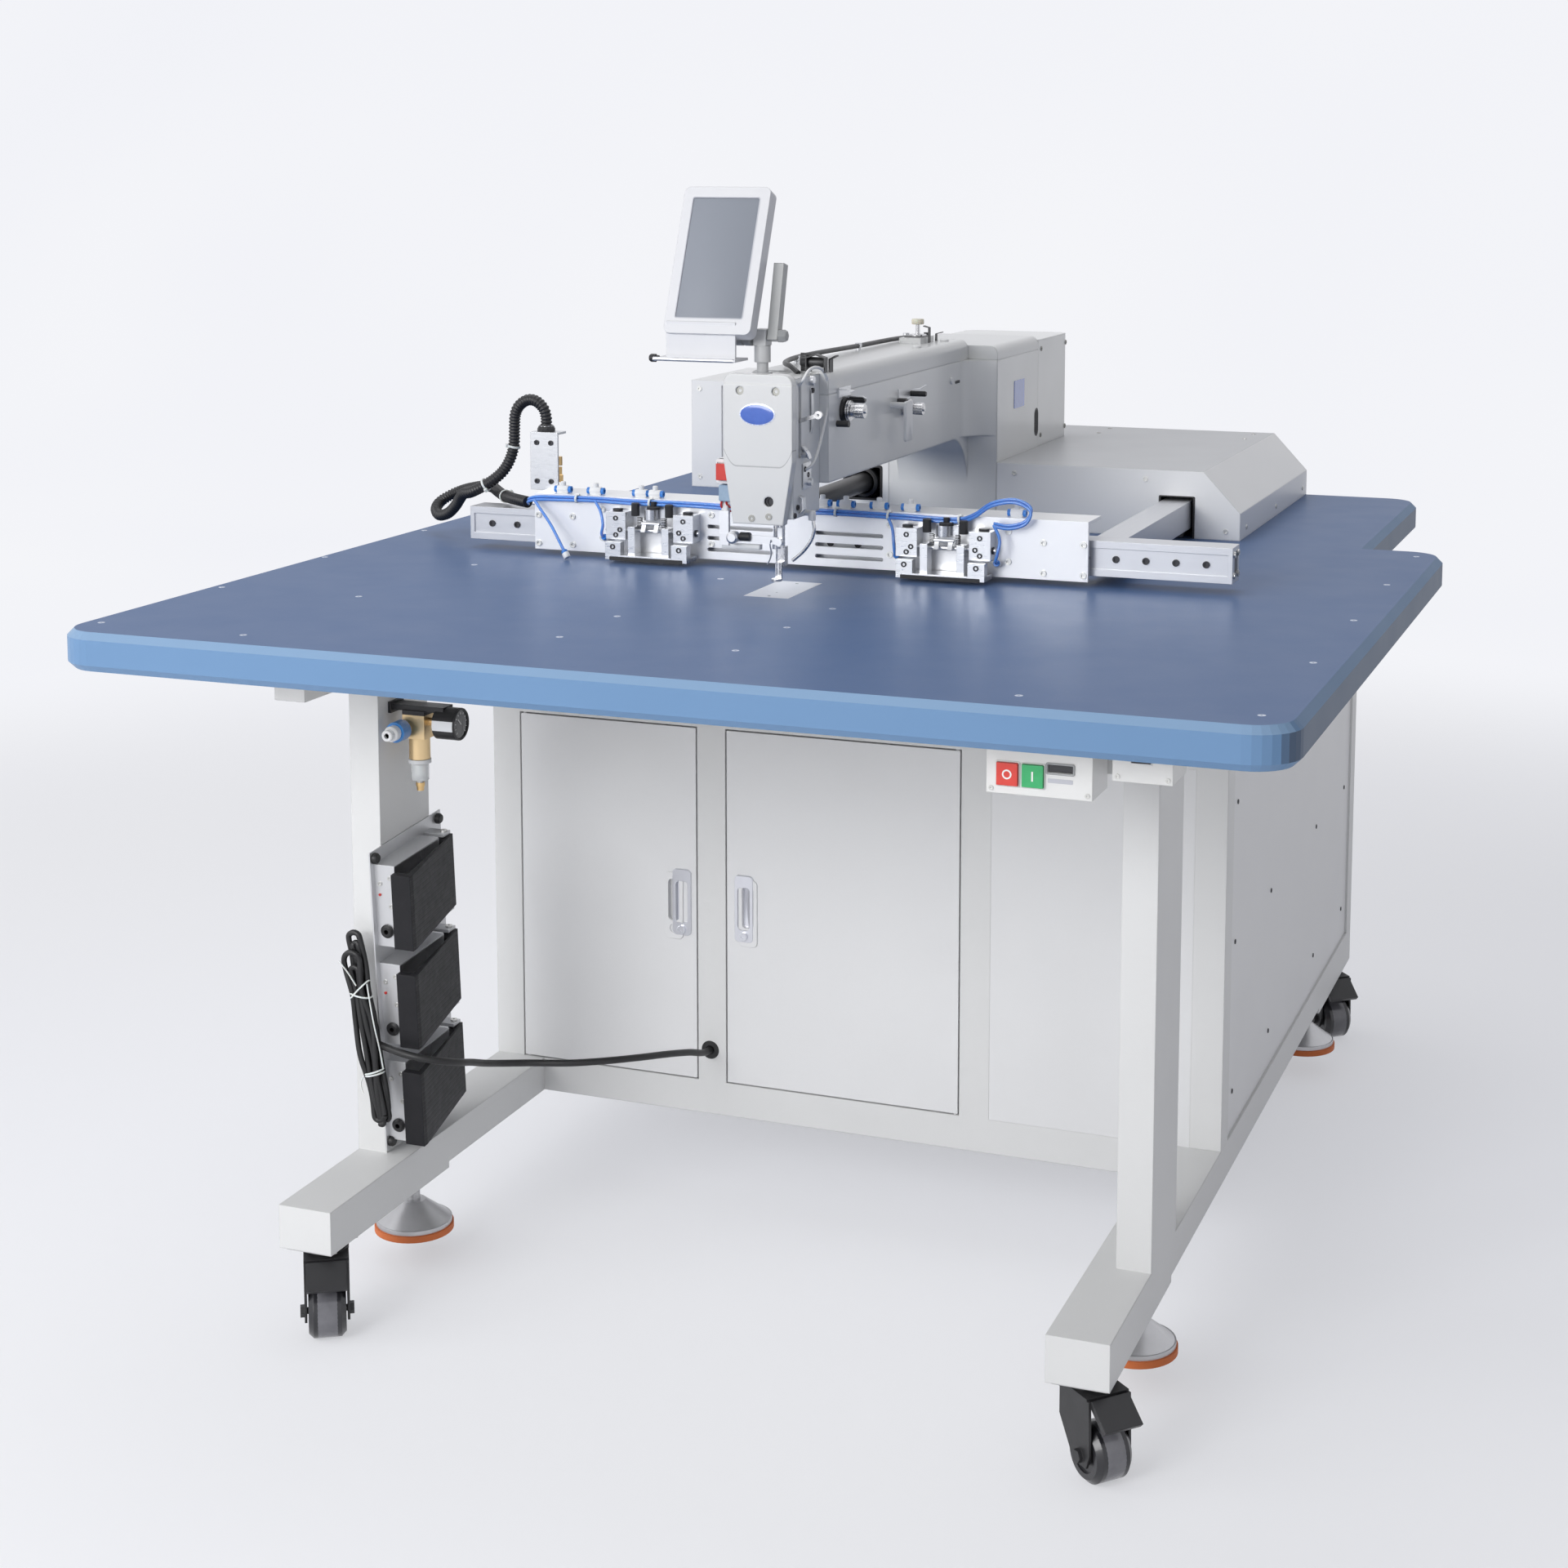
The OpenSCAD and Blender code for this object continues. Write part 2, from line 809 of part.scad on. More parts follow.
module presser_foot() {
    foot_z = T + 14;
    color("silver")
        placed()
            difference() {
                union() {
                    translate([head_x, presser_y, foot_z + 16])
                        cylinder(h = head_low + 36 - foot_z, r = presser_r);
                    block([head_x - 5, presser_y - 5, foot_z + 16], [head_x + 5, presser_y + 5, foot_z + 40]);
                    block([head_x - 4, needle_y + 5.7, foot_z + 16], [head_x + 4, presser_y, foot_z + 22]);
                    block([head_x - 4, needle_y + 5.7, foot_z], [head_x + 4, needle_y + 9, foot_z + 22]);
                    translate([head_x, needle_y, foot_z])
                        cylinder(h = 3, r = 6.5);
                }
                translate([head_x, needle_y, foot_z - 1])
                    cylinder(h = 6, r = 2.2);
            }
}

module main_shaft() {
    color("silver")
        placed() {
            bar_y(head_x, head_back - 20, column_rear - 16, shaft_z, shaft_r);
            // crank disc behind the needle bar
            difference() {
                bar_y(head_x, needle_y + 12, head_back - 20 + eps, shaft_z, 16);
                bar_y(head_x + 9, needle_y + 11, needle_y + 15, shaft_z, 3);
            }
            // rotor and hand wheel at the rear
            bar_y(head_x, column_join + 12, column_join + 70, shaft_z, 34);
            difference() {
                bar_y(head_x, column_join + 86, column_join + 112, shaft_z, 42);
                for (a = [0 : 45 : 315])
                    bar_y(head_x + 28 * cos(a), column_join + 85, column_join + 113, shaft_z + 28 * sin(a), 7);
            }
        }
}

face_t = 14;
face_low = T + 92;
face_mid = T + 168;
face_top = T + 272;
face_w = 88;
face_low_w = 64;

module face_outline(inset) {
    r = 12;
    w = face_w / 2 - inset;
    top = face_top - inset;
    low = face_low + inset;
    polygon([[-w, face_mid], [-w, top - r], [w, top - r], [w, face_mid],
             [face_low_w / 2 - inset, low], [-face_low_w / 2 + inset, low]]);
    translate([-w + r, top - r - eps])
        square([2 * (w - r), r + eps]);
    for (s = [-1, 1])
        translate([s * (w - r), top - r])
            circle(r);
}

module face_cover() {
    color("white")
        placed()
            translate([head_x, head_front, 0])
                rotate([90, 0, 0])
                    difference() {
                        linear_extrude(height = face_t)
                            face_outline(0);
                        translate([0, 0, -1])
                            linear_extrude(height = face_t - 2)
                                intersection() {
                                    face_outline(3);
                                    translate([-head_w / 2 + arm_wall, head_low + 14])
                                        square([head_w - 2 * arm_wall, head_top - head_low - 26]);
                                }
                        for (s = [-1, 1])
                            translate([s * 23, face_top - 20, face_t - 2])
                                cylinder(h = 3, r = 5);
                        translate([14, face_low + 28, face_t - 5])
                            cylinder(h = 6, r = 6);
                    }
}

module arm_cover() {
    z = T + arm_top;
    soft = 12;
    color("whitesmoke")
        placed()
            difference() {
                union() {
                    translate([head_x, head_back, z])
                        rotate([-90, 0, 0])
                            mirror([0, 1, 0])
                                linear_extrude(height = column_front - head_back + eps)
                                    cover_section(arm_w, cover_h, soft);
                    translate([(column_left + column_right) / 2, column_front, z])
                        rotate([-90, 0, 0])
                            mirror([0, 1, 0])
                                linear_extrude(height = column_join - column_front)
                                    cover_section(column_right - column_left, cover_h - 8, soft);
                    // winder base on top
                    block([head_x - 16, winder_y - 34, z + cover_h - 3],
                          [head_x + 16, winder_y + 22, z + cover_h + 8]);
                }
                block([head_x - arm_w / 2 + 3, head_back + 3, z - 1],
                      [head_x + arm_w / 2 - 3, column_join - 3, z + cover_h - 12]);
                translate([winder_x, winder_y, z + cover_h - 5])
                    cylinder(h = 20, r = 4 + running);
            }
}

// Section of the arm's cover, flat below and rounded above
module cover_section(w, h, r) {
    translate([-w / 2, 0])
        square([w, h - r]);
    translate([-w / 2 + r, 0])
        square([w - 2 * r, h]);
    for (s = [-1, 1])
        translate([s * (w / 2 - r), h - r])
            intersection() {
                circle(r);
                translate([-r, r - h])
                    square([2 * r, h]);
            }
}

winder_y = 1065;
winder_x = head_x;

module winder_spindle() {
    z = T + arm_top + cover_h;
    color("silver")
        placed()
            translate([winder_x, winder_y, z - 5]) {
                cylinder(h = 17, r = 4);
                translate([0, 0, 13.3])
                    cylinder(h = 3, r = 12);
                cylinder(h = 30, r = 3);
            }
}

module column_cover() {
    low = T + drive_cover_h;
    top = T + arm_top + 14;
    soft = 20;
    w = column_right - column_left;
    color("lightgray")
        placed()
            difference() {
                translate([(column_left + column_right) / 2, column_join, low])
                    linear_extrude(height = top - low)
                        translate([0, (motor_cover_l) / 2])
                            difference() {
                                union() {
                                    round_rect(w, motor_cover_l, soft);
                                    translate([-w / 2, -motor_cover_l / 2])
                                        square([w, motor_cover_l / 2]);
                                }
                                square(0.001);
                            }
                block([column_left + 3, column_join - 1, low - 1],
                      [column_right - 3, column_rear - 8, top - 3]);
            }
}

function tension_places() = [[620, T + 216], [850, T + 197]];

module tension_unit(spread) {
    // stud, two discs and a knurled nut
    x = head_x + arm_w / 2;
    y = 0;
    bar_x(x - arm_wall + 0.3, x + 30, y, 0, 3);
    bar_x(x + 6, x + 7.5, y, 0, 13);
    bar_x(x + 8.5, x + 10, y, 0, 13);
    bar_x(x + 0.3, x + 5, y, 0, 9);
    difference() {
        bar_x(x + 16, x + 28, y, 0, 8 + spread);
        for (a = [0 : 30 : 330])
            bar_x(x + 15, x + 29, y + (8.8 + spread) * cos(a), (8.8 + spread) * sin(a), 1.3);
    }
}

module main_tension() {
    color("silver")
        placed()
            translate([0, tension_places()[0][0], tension_places()[0][1]])
                tension_unit(1);
}

module second_tension() {
    color("silver")
        placed()
            translate([0, tension_places()[1][0], tension_places()[1][1]])
                tension_unit(0);
}

halt_x = head_x - head_w / 2 - 12;
halt_z = T + 151;

module halt_button() {
    color("red")
        placed() {
            bar_y(halt_x, head_front + 5, head_front + 20, halt_z, 6 - running);
            block([halt_x - 8.5, head_front + 1, halt_z - 10], [halt_x + 8.5, head_front + 6, halt_z + 10]);
        }
}

// ---- covers behind the machine
module drive_outline(inset) {
    h = drive_cover_h - inset;
    right = drive_cover_right - inset;
    polygon([[drive_cover_left + inset, -1 * sign(inset)], [drive_cover_left + inset, h],
             [right - 52, h], [right, h - 56], [right, -1 * sign(inset)]]);
}

drive_rear = table_d - 5;
cover_wall = 2;
slot_x = 308;
slot_w = 46;
window_x = -159;
window_w = 54;

module drive_cover() {
    color("whitesmoke")
        placed()
            difference() {
                translate([0, drive_rear, T])
                    rotate([90, 0, 0])
                        linear_extrude(height = drive_rear - column_front)
                            drive_outline(0);
                translate([0, drive_rear - cover_wall, T])
                    rotate([90, 0, 0])
                        linear_extrude(height = drive_rear - column_front - 2 * cover_wall)
                            drive_outline(cover_wall);
                // room for the column and its rear cover
                block([column_left - 0.3, column_front - 1, T - 1],
                      [column_right + 0.3, column_join + 0.3, T + drive_cover_h + 1]);
                // slots of the two feed arms
                block([slot_x, column_front - 1, T - 1], [slot_x + slot_w, column_front + 10, T + 57]);
                block([window_x, column_front - 1, T + 34], [window_x + window_w, column_front + 10, T + 79]);
            }
}

guide_w = 14;
guide_h = 10;
motor_size = [70, 80, 74];
pulley_size = [20, 28, 28];

module y_drive() {
    // guide rail on the table, with the motor and belt that move the feed arms
    guide_x = slot_x + slot_w / 2 - guide_w / 2;
    motor_low = [guide_x - 50 - motor_size[0], drive_rear - 30 - motor_size[1], T];
    pulley_low = [guide_x - 50 - eps, drive_rear - 56 - pulley_size[1], T + 20];
    color("dimgray")
        placed() {
            block([guide_x, column_front + 12, T], [guide_x + guide_w, drive_rear - 10, T + guide_h]);
            block(motor_low, motor_low + motor_size);
            block(pulley_low, pulley_low + pulley_size);
        }
}

box_w = 267;
box_d = 240;
box_h = 171;
box_left = 78 - table_rear_w / 2;
box_front = table_d - 20 - box_d;

module control_box() {
    // valve and terminal box with a lid on its front and a cable hole at the back
    color("whitesmoke")
        placed()
            difference() {
                block([box_left, box_front, T], [box_left + box_w, box_front + box_d, T + box_h]);
                block([box_left + cover_wall, box_front + 20, T + cover_wall],
                      [box_left + box_w - cover_wall, box_front + box_d - cover_wall, T + box_h - cover_wall]);
                block([box_left + 52, box_front - 1, T + 8], [box_left + 54, box_front + 3, T + box_h - 8]);
                bar_y(box_left + box_w / 2, box_front + box_d - 5, box_front + box_d + 1, T + 30, 9);
            }
}

// ---- feed
xbeam_z = T + xbeam_gap;
xbeam_right = beam_left + beam_l;
rail_w = 26;

module x_beam() {
    pitch = 37.5;
    count = floor(beam_l / pitch);
    first = beam_left + (beam_l - (count - 1) * pitch) / 2;
    color("silver")
        placed()
            difference() {
                block([beam_left, feed_y, xbeam_z], [xbeam_right, feed_y + xbeam_d, xbeam_z + xbeam_h]);
                // recess of the guide rail on the front face
                block([beam_left + 6, feed_y - 1, xbeam_z + 9],
                      [xbeam_right - 6, feed_y + 2, xbeam_z + 9 + rail_w]);
                // long hollow and rear groove of the extrusion
                block([beam_left - 1, feed_y + 12, xbeam_z + 6],
                      [xbeam_right + 1, feed_y + xbeam_d - 8, xbeam_z + xbeam_h - 6]);
                for (i = [0 : count - 1])
                    bar_y(first + i * pitch, feed_y, feed_y + 14, xbeam_z + 9 + rail_w / 2, 3);
            }
}

arm_end = column_join;
arm_mid_x = window_x + window_w / 2 + 2;
arm_mid_z = T + 57;
arm_mid_r = 14;

module y_arms() {
    back = feed_y + xbeam_d;
    x0 = slot_x + 2;
    x1 = slot_x + slot_w - 4;
    rail_x = slot_x + slot_w / 2 - 7;
    color("gray")
        placed() {
            difference() {
                union() {
                    block([x0, back, T + 14], [x1, arm_end, T + 52]);
                    // runner that holds the guide rail
                    block([rail_x - 9, arm_end - 110, T + 3], [rail_x + 23, arm_end, T + 14 + eps]);
                }
                block([x0 + 4, back + 8, T + 18], [x1 - 4, arm_end + 1, T + 48]);
                block([rail_x - 0.3, arm_end - 111, T + 1], [rail_x + 14.3, arm_end + 1, T + 10.3]);
            }
            block([x0 - 14, back, xbeam_z + 2], [x0 + eps, back + 8, T + 52]);
            // round arm that enters the housing beside the column
            difference() {
                union() {
                    bar_y(arm_mid_x, back + 8, arm_end, arm_mid_z, arm_mid_r);
                    block([arm_mid_x - 22, back, xbeam_z + 2],
                          [arm_mid_x + 22, back + 8 + eps, arm_mid_z + 18]);
                }
                bar_y(arm_mid_x, back + 20, arm_end + 1, arm_mid_z, arm_mid_r - 3);
            }
        }
}

clamp_front = feed_y - 10 - clamp_plate_t;
clamp_low = T + 7;
clamp_top = clamp_low + clamp_plate_h;
flange_d = 62;
clamp_right_end = clamp_plate_left + clamp_plate_l;
plate_slot_mid = -67;
plate_slot_l = 92;

module clamp_plate() {
    // angle plate with three slots on each side of its middle, and two runners for the beam's rail
    color("white")
        placed()
            difference() {
                union() {
                    block([clamp_plate_left, clamp_front, clamp_low],
                          [clamp_right_end, clamp_front + clamp_plate_t, clamp_top]);
                    block([clamp_plate_left, clamp_front, clamp_top - 4],
                          [clamp_right_end, clamp_front + flange_d, clamp_top]);
                    for (x = [plate_slot_mid - 27, plate_slot_mid + 125])
                        block([x, clamp_front + clamp_plate_t - eps, xbeam_z + 9.3],
                              [x + 54, feed_y + 1.7, xbeam_z + 8.7 + rail_w]);
                }
                for (s = [-1, 1], z = [20, 35, 50])
                    translate([plate_slot_mid + s * 75, clamp_front - 1, T + z])
                        rotate([-90, 0, 0])
                            linear_extrude(height = clamp_plate_t + 2)
                                round_rect(plate_slot_l, 5, 2.4);
            }
}

clamp_places = [-260, 141];
clamp_block = [28, 24, 36];
clamp_half = 62;
block_low = T + 30;
clamp_pin_z = T + 42;
clamp_pin_y = clamp_front - 14;
clamp_pin_r = 3;
cylinder_r = 9;

module clamp_base(x) {
    // two bearing blocks and the air cylinder between them
    difference() {
        for (left = [x - clamp_half, x + clamp_half - clamp_block[0]])
            translate([left, clamp_front - clamp_block[1], block_low])
                cube(clamp_block);
        bar_x(x - clamp_half - 1, x + clamp_half + 1, clamp_pin_y, clamp_pin_z, clamp_pin_r + running);
    }
    translate([x - 4, clamp_front - cylinder_r, block_low + 26])
        cylinder(h = 14, r = cylinder_r);
    block([x - 14, clamp_front - 3, block_low + 16], [x + 14, clamp_front, block_low + 40]);
}

module clamp_bases() {
    color("silver")
        placed()
            for (x = clamp_places)
                clamp_base(x);
}

module clamp_jaw(x) {
    // rocking jaw: shaft, two fingers and the pressing bar
    bar_x(x - clamp_half - 4, x + clamp_half + 4, clamp_pin_y, clamp_pin_z, clamp_pin_r);
    for (s = [-1, 1])
        block([x + s * 24 - 5, clamp_pin_y - 14, T + 10], [x + s * 24 + 5, clamp_pin_y + 4, clamp_pin_z + 6]);
    block([x - clamp_half + 4, clamp_pin_y - 22, T + 5], [x + clamp_half - 4, clamp_pin_y + 10, T + 11]);
    for (s = [-1, 1])
        block([x + s * (clamp_half - 15) - 11, clamp_pin_y - 22, T + 11 - eps],
              [x + s * (clamp_half - 15) + 11, clamp_pin_y - 10, T + 28]);
}

module clamp_jaw_left() {
    color("silver")
        placed()
            clamp_jaw(clamp_places[0]);
}

module clamp_jaw_right() {
    color("silver")
        placed()
            clamp_jaw(clamp_places[1]);
}

bracket_x = -459;
bracket_w = 41;
bracket_y = clamp_front + 30;
bracket_h = 78;

module hose_bracket() {
    // upright bracket on the clamp plate that holds the hose's end fitting
    color("silver")
        placed()
            difference() {
                union() {
                    block([bracket_x, bracket_y, clamp_top],
                          [bracket_x + bracket_w, bracket_y + 3, clamp_top + bracket_h]);
                    block([bracket_x + 20, bracket_y, clamp_top],
                          [bracket_x + bracket_w, bracket_y + 24, clamp_top + 3]);
                    block([bracket_x, bracket_y, clamp_top + bracket_h - 3],
                          [bracket_x + bracket_w, bracket_y + 26, clamp_top + bracket_h]);
                    // gland of the hose
                    translate([hose_x, hose_y, clamp_top + bracket_h - 14])
                        cylinder(h = 22, r = hose_r + 2);
                }
                for (x = [10, bracket_w - 10], z = [12, bracket_h - 14])
                    bar_y(bracket_x + x, bracket_y - 1, bracket_y + 4, clamp_top + z, 2);
            }
}

// ---- cords: each route's points are chosen by hand, in millimetres
hose_r = 8;
hose_y = bracket_y + 13;
hose_x = bracket_x + 18;
hose_route = [
    [hose_x, hose_y, clamp_top + bracket_h + 8], [-441, 733, 1039], [-445, 733, 1051], [-456, 734, 1060],
    [-470, 736, 1061], [-483, 737, 1053], [-490, 738, 1040], [-492, 739, 1020], [-493, 739, 1000],
    [-498, 738, 981], [-508, 737, 964], [-522, 735, 951], [-540, 734, 940], [-560, 739, 931],
    [-577, 750, 927], [-590, 763, 918], [-603, 772, 905], [-620, 782, 893], [-640, 794, 888],
    [-653, 808, 894], [-655, 824, 902], [-644, 836, 911], [-624, 838, 919], [-600, 829, 925],
    [-575, 810, 930], [-552, 788, 932], [-531, 764, 930], [-510, 742, 928], [-485, 720, 928],
    [-455, 703, 927]
];
tube_r = 2;
bundle_r = 4;
tube_route_main = [
    [-452.7, 701.7, 927], [-446, 689, 932], [-430, 684, 936], [-396, 684, 937], [-347, 684, 938], [-290, 684, 937],
    [-218, 684, 938], [-130, 684, 937], [-26, 684, 938], [80, 684, 937], [150, 684, 936], [176, 682, 943],
    [200, 680, 959], [230, 678, 965], [251, 676, 956], [246, 674, 940], [226, 673, 933], [204, 676, 934]
];
tube_routes_drop = [
    [[-434, 681, 934], [-420, 673, 922], [-403, 667, 904], [-388, 661, 884], [-374, 655, 865]],
    [[-344, 681, 936], [-334, 675, 924], [-329, 671, 908], [-331, 672, 894], [-327, 683, 886]],
    [[64, 681, 935], [72, 674, 922], [75, 670, 905], [76, 672, 892], [77, 684, 886]],
    [[204, 676, 934], [214, 668, 918], [213, 664, 902], [209, 668, 890], [207, 684, 884]]
];
cable_r = 4.5;
cable_route = [
    [-456, 288, 312], [-437, 281, 311], [-413, 276, 309], [-390, 280, 305], [-371, 295, 299],
    [-362, 318, 291], [-361, 348, 281], [-360, 380, 269], [-352, 412, 259], [-328, 440, 253],
    [-282, 460, 252], [-244, 486, 251], [-216, 524, 246], [-196, 572, 237], [-186, 618, 225],
    [-184, 655, 212], [grommet_x, 684, grommet_z], [grommet_x, 704, grommet_z]
];

function unit(v) = v / norm(v);
function direction(p, i) = unit(p[min(i + 1, len(p) - 1)] - p[max(i - 1, 0)]);
function side_of(d) = unit(cross(d, abs(d[1]) < 0.9 ? [0, 1, 0] : [1, 0, 0]));

module tube(p, r, sides) {
    rings = [
        for (i = [0 : len(p) - 1])
            let (d = direction(p, i), u = side_of(d), v = cross(d, u))
                for (k = [0 : sides - 1])
                    p[i] + r * (u * cos(360 * k / sides) + v * sin(360 * k / sides))
    ];
    last = (len(p) - 1) * sides;
    walls = [
        for (i = [0 : len(p) - 2], k = [0 : sides - 1])
            let (a = i * sides + k, b = i * sides + (k + 1) % sides)
                [a, b, b + sides, a + sides]
    ];
    start_cap = [for (k = [sides - 1 : -1 : 0]) k];
    end_cap = [for (k = [0 : sides - 1]) last + k];
    polyhedron(rings, concat(walls, [start_cap], [end_cap]));
}

module air_hose() {
    color("black")
        placed()
            tube(hose_route, hose_r, 10);
}

module air_tubes() {
    color("royalblue")
        placed() {
            tube(tube_route_main, bundle_r, 8);
            for (route = tube_routes_drop)
                tube(route, tube_r, 8);
        }
}

module pedal_cable() {
    color("black")
        placed()
            tube(cable_route, cable_r, 8);
}

hank_w = 26;
hank_t = 18;
hank_l = 240;
hank_lean = 10;

module pedal_hank() {
    // folded cables of the three pedals, tied to the leg
    color("black")
        placed()
            translate([-469, leg_front - 20, 328])
                rotate([0, -hank_lean, 0])
                    rotate([90, 0, 0])
                        linear_extrude(height = hank_t)
                            round_rect(hank_w, hank_l, hank_w / 2 - eps);
}

// ---- control panel
post_x = -42;
post_y = 520;
post_r = 7;
knuckle_z = head_top + 34;

module panel_post() {
    color("whitesmoke")
        placed()
            translate([post_x, post_y, head_top - 12]) {
                cylinder(h = knuckle_z - head_top + 6, r = post_r);
                translate([0, 0, 12])
                    cylinder(h = 4, r = post_r + 5);
            }
}

panel_x = -95;
panel_y = 470;
panel_low = T + 318;
hinge_y = post_y;
hinge_z = knuckle_z + 14;
stay_w = 13;
stay_l = 88;

module panel_arm() {
    color("silver")
        placed()
            difference() {
                union() {
                    translate([post_x, post_y, knuckle_z - 18])
                        cylinder(h = 20, r = post_r + 3);
                    block([post_x - 8, hinge_y - 10, knuckle_z + 2 - eps],
                          [post_x + 8, hinge_y + 10, hinge_z + 8]);
                }
                translate([post_x, post_y, knuckle_z - 19])
                    cylinder(h = 14, r = post_r + running);
                bar_x(post_x - 9, post_x + 9, hinge_y, hinge_z, 4 + running);
            }
}

module control_panel() {
    color("ghostwhite")
        placed() {
            bar_x(post_x - 30, post_x + 22, hinge_y, hinge_z, 4);
            translate([panel_x, panel_y, panel_low])
                rotate([-panel_tilt, 0, 0])
                    difference() {
                        translate([0, panel_t, panel_l / 2])
                            rotate([90, 0, 0])
                                linear_extrude(height = panel_t)
                                    round_rect(panel_w, panel_l, 8);
                        // recessed screen
                        block([-panel_w / 2 + 13, -1, 20], [panel_w / 2 - 13, 1.2, panel_l - 14]);
                    }
            // stay from the hinge up the panel's back
            translate([post_x + 15.5, hinge_y, hinge_z])
                rotate([-panel_tilt + 8, 0, 0])
                    block([-stay_w / 2, -7, -6], [stay_w / 2, 7, stay_l]);
            translate([post_x - 24, hinge_y, hinge_z])
                rotate([-panel_tilt, 0, 0])
                    block([-6, -28, -6], [6, 6, 34]);
            // tray below the panel
            translate([panel_x - panel_w / 2, panel_y, panel_low]) {
                block([-11, -6, -33], [panel_w - 16, 34, -30]);
                block([3, 4, -31], [panel_w - 20, 7, 14]);
            }
        }
}

// ---- switches under the table's front edge
switch_x = 377;
switch_w = 110;
switch_h = 62;
switch_front = 80;
switch_d = 60;
button_w = 22;
button_h = 23;
button_gap = 0.3;
usb_x = 507;
usb_w = 61;
usb_h = 39;

button_z = under - 41;
function button_xs() = [switch_x + 22.5, switch_x + 49];

module switch_box() {
    half = [button_w / 2 + button_gap, 0, button_h / 2 + button_gap];
    color("whitesmoke")
        placed()
            difference() {
                block([switch_x, switch_front, under - switch_h],
                      [switch_x + switch_w, switch_front + switch_d, under]);
                for (x = button_xs())
                    block([x, switch_front - 1, button_z] - half, [x, switch_front + 18, button_z] + half);
                block([switch_x + 64, switch_front - 1, button_z + 5],
                      [switch_x + 90, switch_front + 4, button_z + 13]);
            }
}

module usb_box() {
    color("whitesmoke")
        placed()
            difference() {
                block([usb_x, switch_front, under - usb_h], [usb_x + usb_w, switch_front + switch_d, under]);
                block([usb_x + 18, switch_front - 1, under - 20], [usb_x + 40, switch_front + 14, under - 12]);
            }
}

module push_button(x, proud) {
    block([x - button_w / 2, switch_front - proud, button_z - button_h / 2],
          [x + button_w / 2, switch_front + 12, button_z + button_h / 2]);
}

module stop_button() {
    color("red")
        placed()
            push_button(button_xs()[0], 4);
}

module start_button() {
    color("green")
        placed()
            push_button(button_xs()[1], 4);
}

// ---- air regulator on the left leg
leg_inner = -half_w + leg_w;
reg_x = leg_inner + 34;
reg_y = leg_front + 40;
reg_z = under - 111;
valve_x = reg_x - 10;
valve_z = reg_z - 7;
valve_r = 12.5;
gauge_r = 20;
inlet_r = 6;
bowl_top = reg_z - 47;
bowl_neck_r = 8;

module air_regulator() {
    color("tan")
        placed()
            difference() {
                union() {
                    // bracket on the leg
                    block([leg_inner, reg_y - 16, reg_z + 10], [leg_inner + 4, reg_y + 16, reg_z + 24]);
                    block([leg_inner, reg_y - 12, reg_z + 14], [reg_x + 40, reg_y + 12, reg_z + 21]);
                    // body and the filter's head
                    block([reg_x - 15, reg_y - 15, reg_z - 20], [reg_x + 15, reg_y + 15, reg_z + 15]);
                    translate([reg_x, reg_y, bowl_top + 0.3])
                        cylinder(h = reg_z - 20 - bowl_top, r = 13);
                    // gauge
                    bar_x(reg_x + 14, reg_x + 30, reg_y, reg_z, 5);
                    bar_x(reg_x + 28, reg_x + 56, reg_y, reg_z, gauge_r);
                    // inlet that the slide valve runs on, with its push-in end
                    bar_y(valve_x, reg_y - 58, reg_y - 14, valve_z, inlet_r);
                }
                bar_y(valve_x, reg_y - 59, reg_y - 40, valve_z, 3.2);
                translate([reg_x, reg_y, bowl_top])
                    cylinder(h = 10, r = bowl_neck_r + running);
            }
}

module filter_bowl() {
    // clear bowl with its locking ring and the drain at its foot
    color("lightgray")
        placed()
            translate([reg_x, reg_y, bowl_top]) {
                cylinder(h = 9, r = bowl_neck_r);
                translate([0, 0, -5])
                    cylinder(h = 5, r = 14);
                translate([0, 0, -26])
                    cylinder(h = 21 + eps, r = 11);
                translate([0, 0, -41])
                    cylinder(h = 15 + eps, r = 4);
            }
}

module slide_valve() {
    color("steelblue")
        placed()
            difference() {
                bar_y(valve_x, reg_y - 42, reg_y - 24, valve_z, valve_r);
                bar_y(valve_x, reg_y - 43, reg_y - 23, valve_z, inlet_r + running);
            }
}

// ---- pedal bank on the left leg's inner side
bank_x = leg_inner;
bank_y = 310;
bank_z = beam_top + 5;
bank_t = 2;
housing_h = 28;
pedal_pitch = bank_l / 3;

module at_bank() {
    placed()
        translate([bank_x, bank_y, bank_z])
            rotate([bank_lean, 0, 0])
                children();
}

function tread_z(i) = 12 + i * (pedal_pitch - 2);
pivot_x = bank_t + housing_h - 6;
pivot_y = tread_l + 8;

module pedal_bank() {
    color("lightgray")
        at_bank()
            difference() {
                union() {
                    block([0, 0, 0], [bank_t, bank_w, bank_l]);
                    for (i = [0 : 2])
                        translate([0, 0, tread_z(i)]) {
                            // folded steel housing, open towards its tread
                            difference() {
                                block([bank_t - eps, 8, 0], [bank_t + housing_h, pivot_y - 24, tread_w]);
                                block([bank_t + 2, 10, 2], [bank_t + housing_h + 1, pivot_y - 26, tread_w - 2]);
                            }
                            // ears of the pivot
                            for (z = [0, tread_w - 4])
                                block([bank_t - eps, pivot_y - 12, z], [pivot_x + 6, pivot_y + 6, z + 4]);
                        }
                }
                for (i = [0 : 2]) {
                    translate([pivot_x, pivot_y, tread_z(i) - 1])
                        cylinder(h = tread_w + 2, r = 2.5 + running);
                    // cable grommet in the front wall
                    bar_y(bank_t + housing_h / 2, 0, 12, tread_z(i) + 20, 5);
                }
                for (y = [9, bank_w - 9], z = [9, bank_l - 9])
                    bar_x(-1, bank_t + 1, y, z, 4);
            }
}

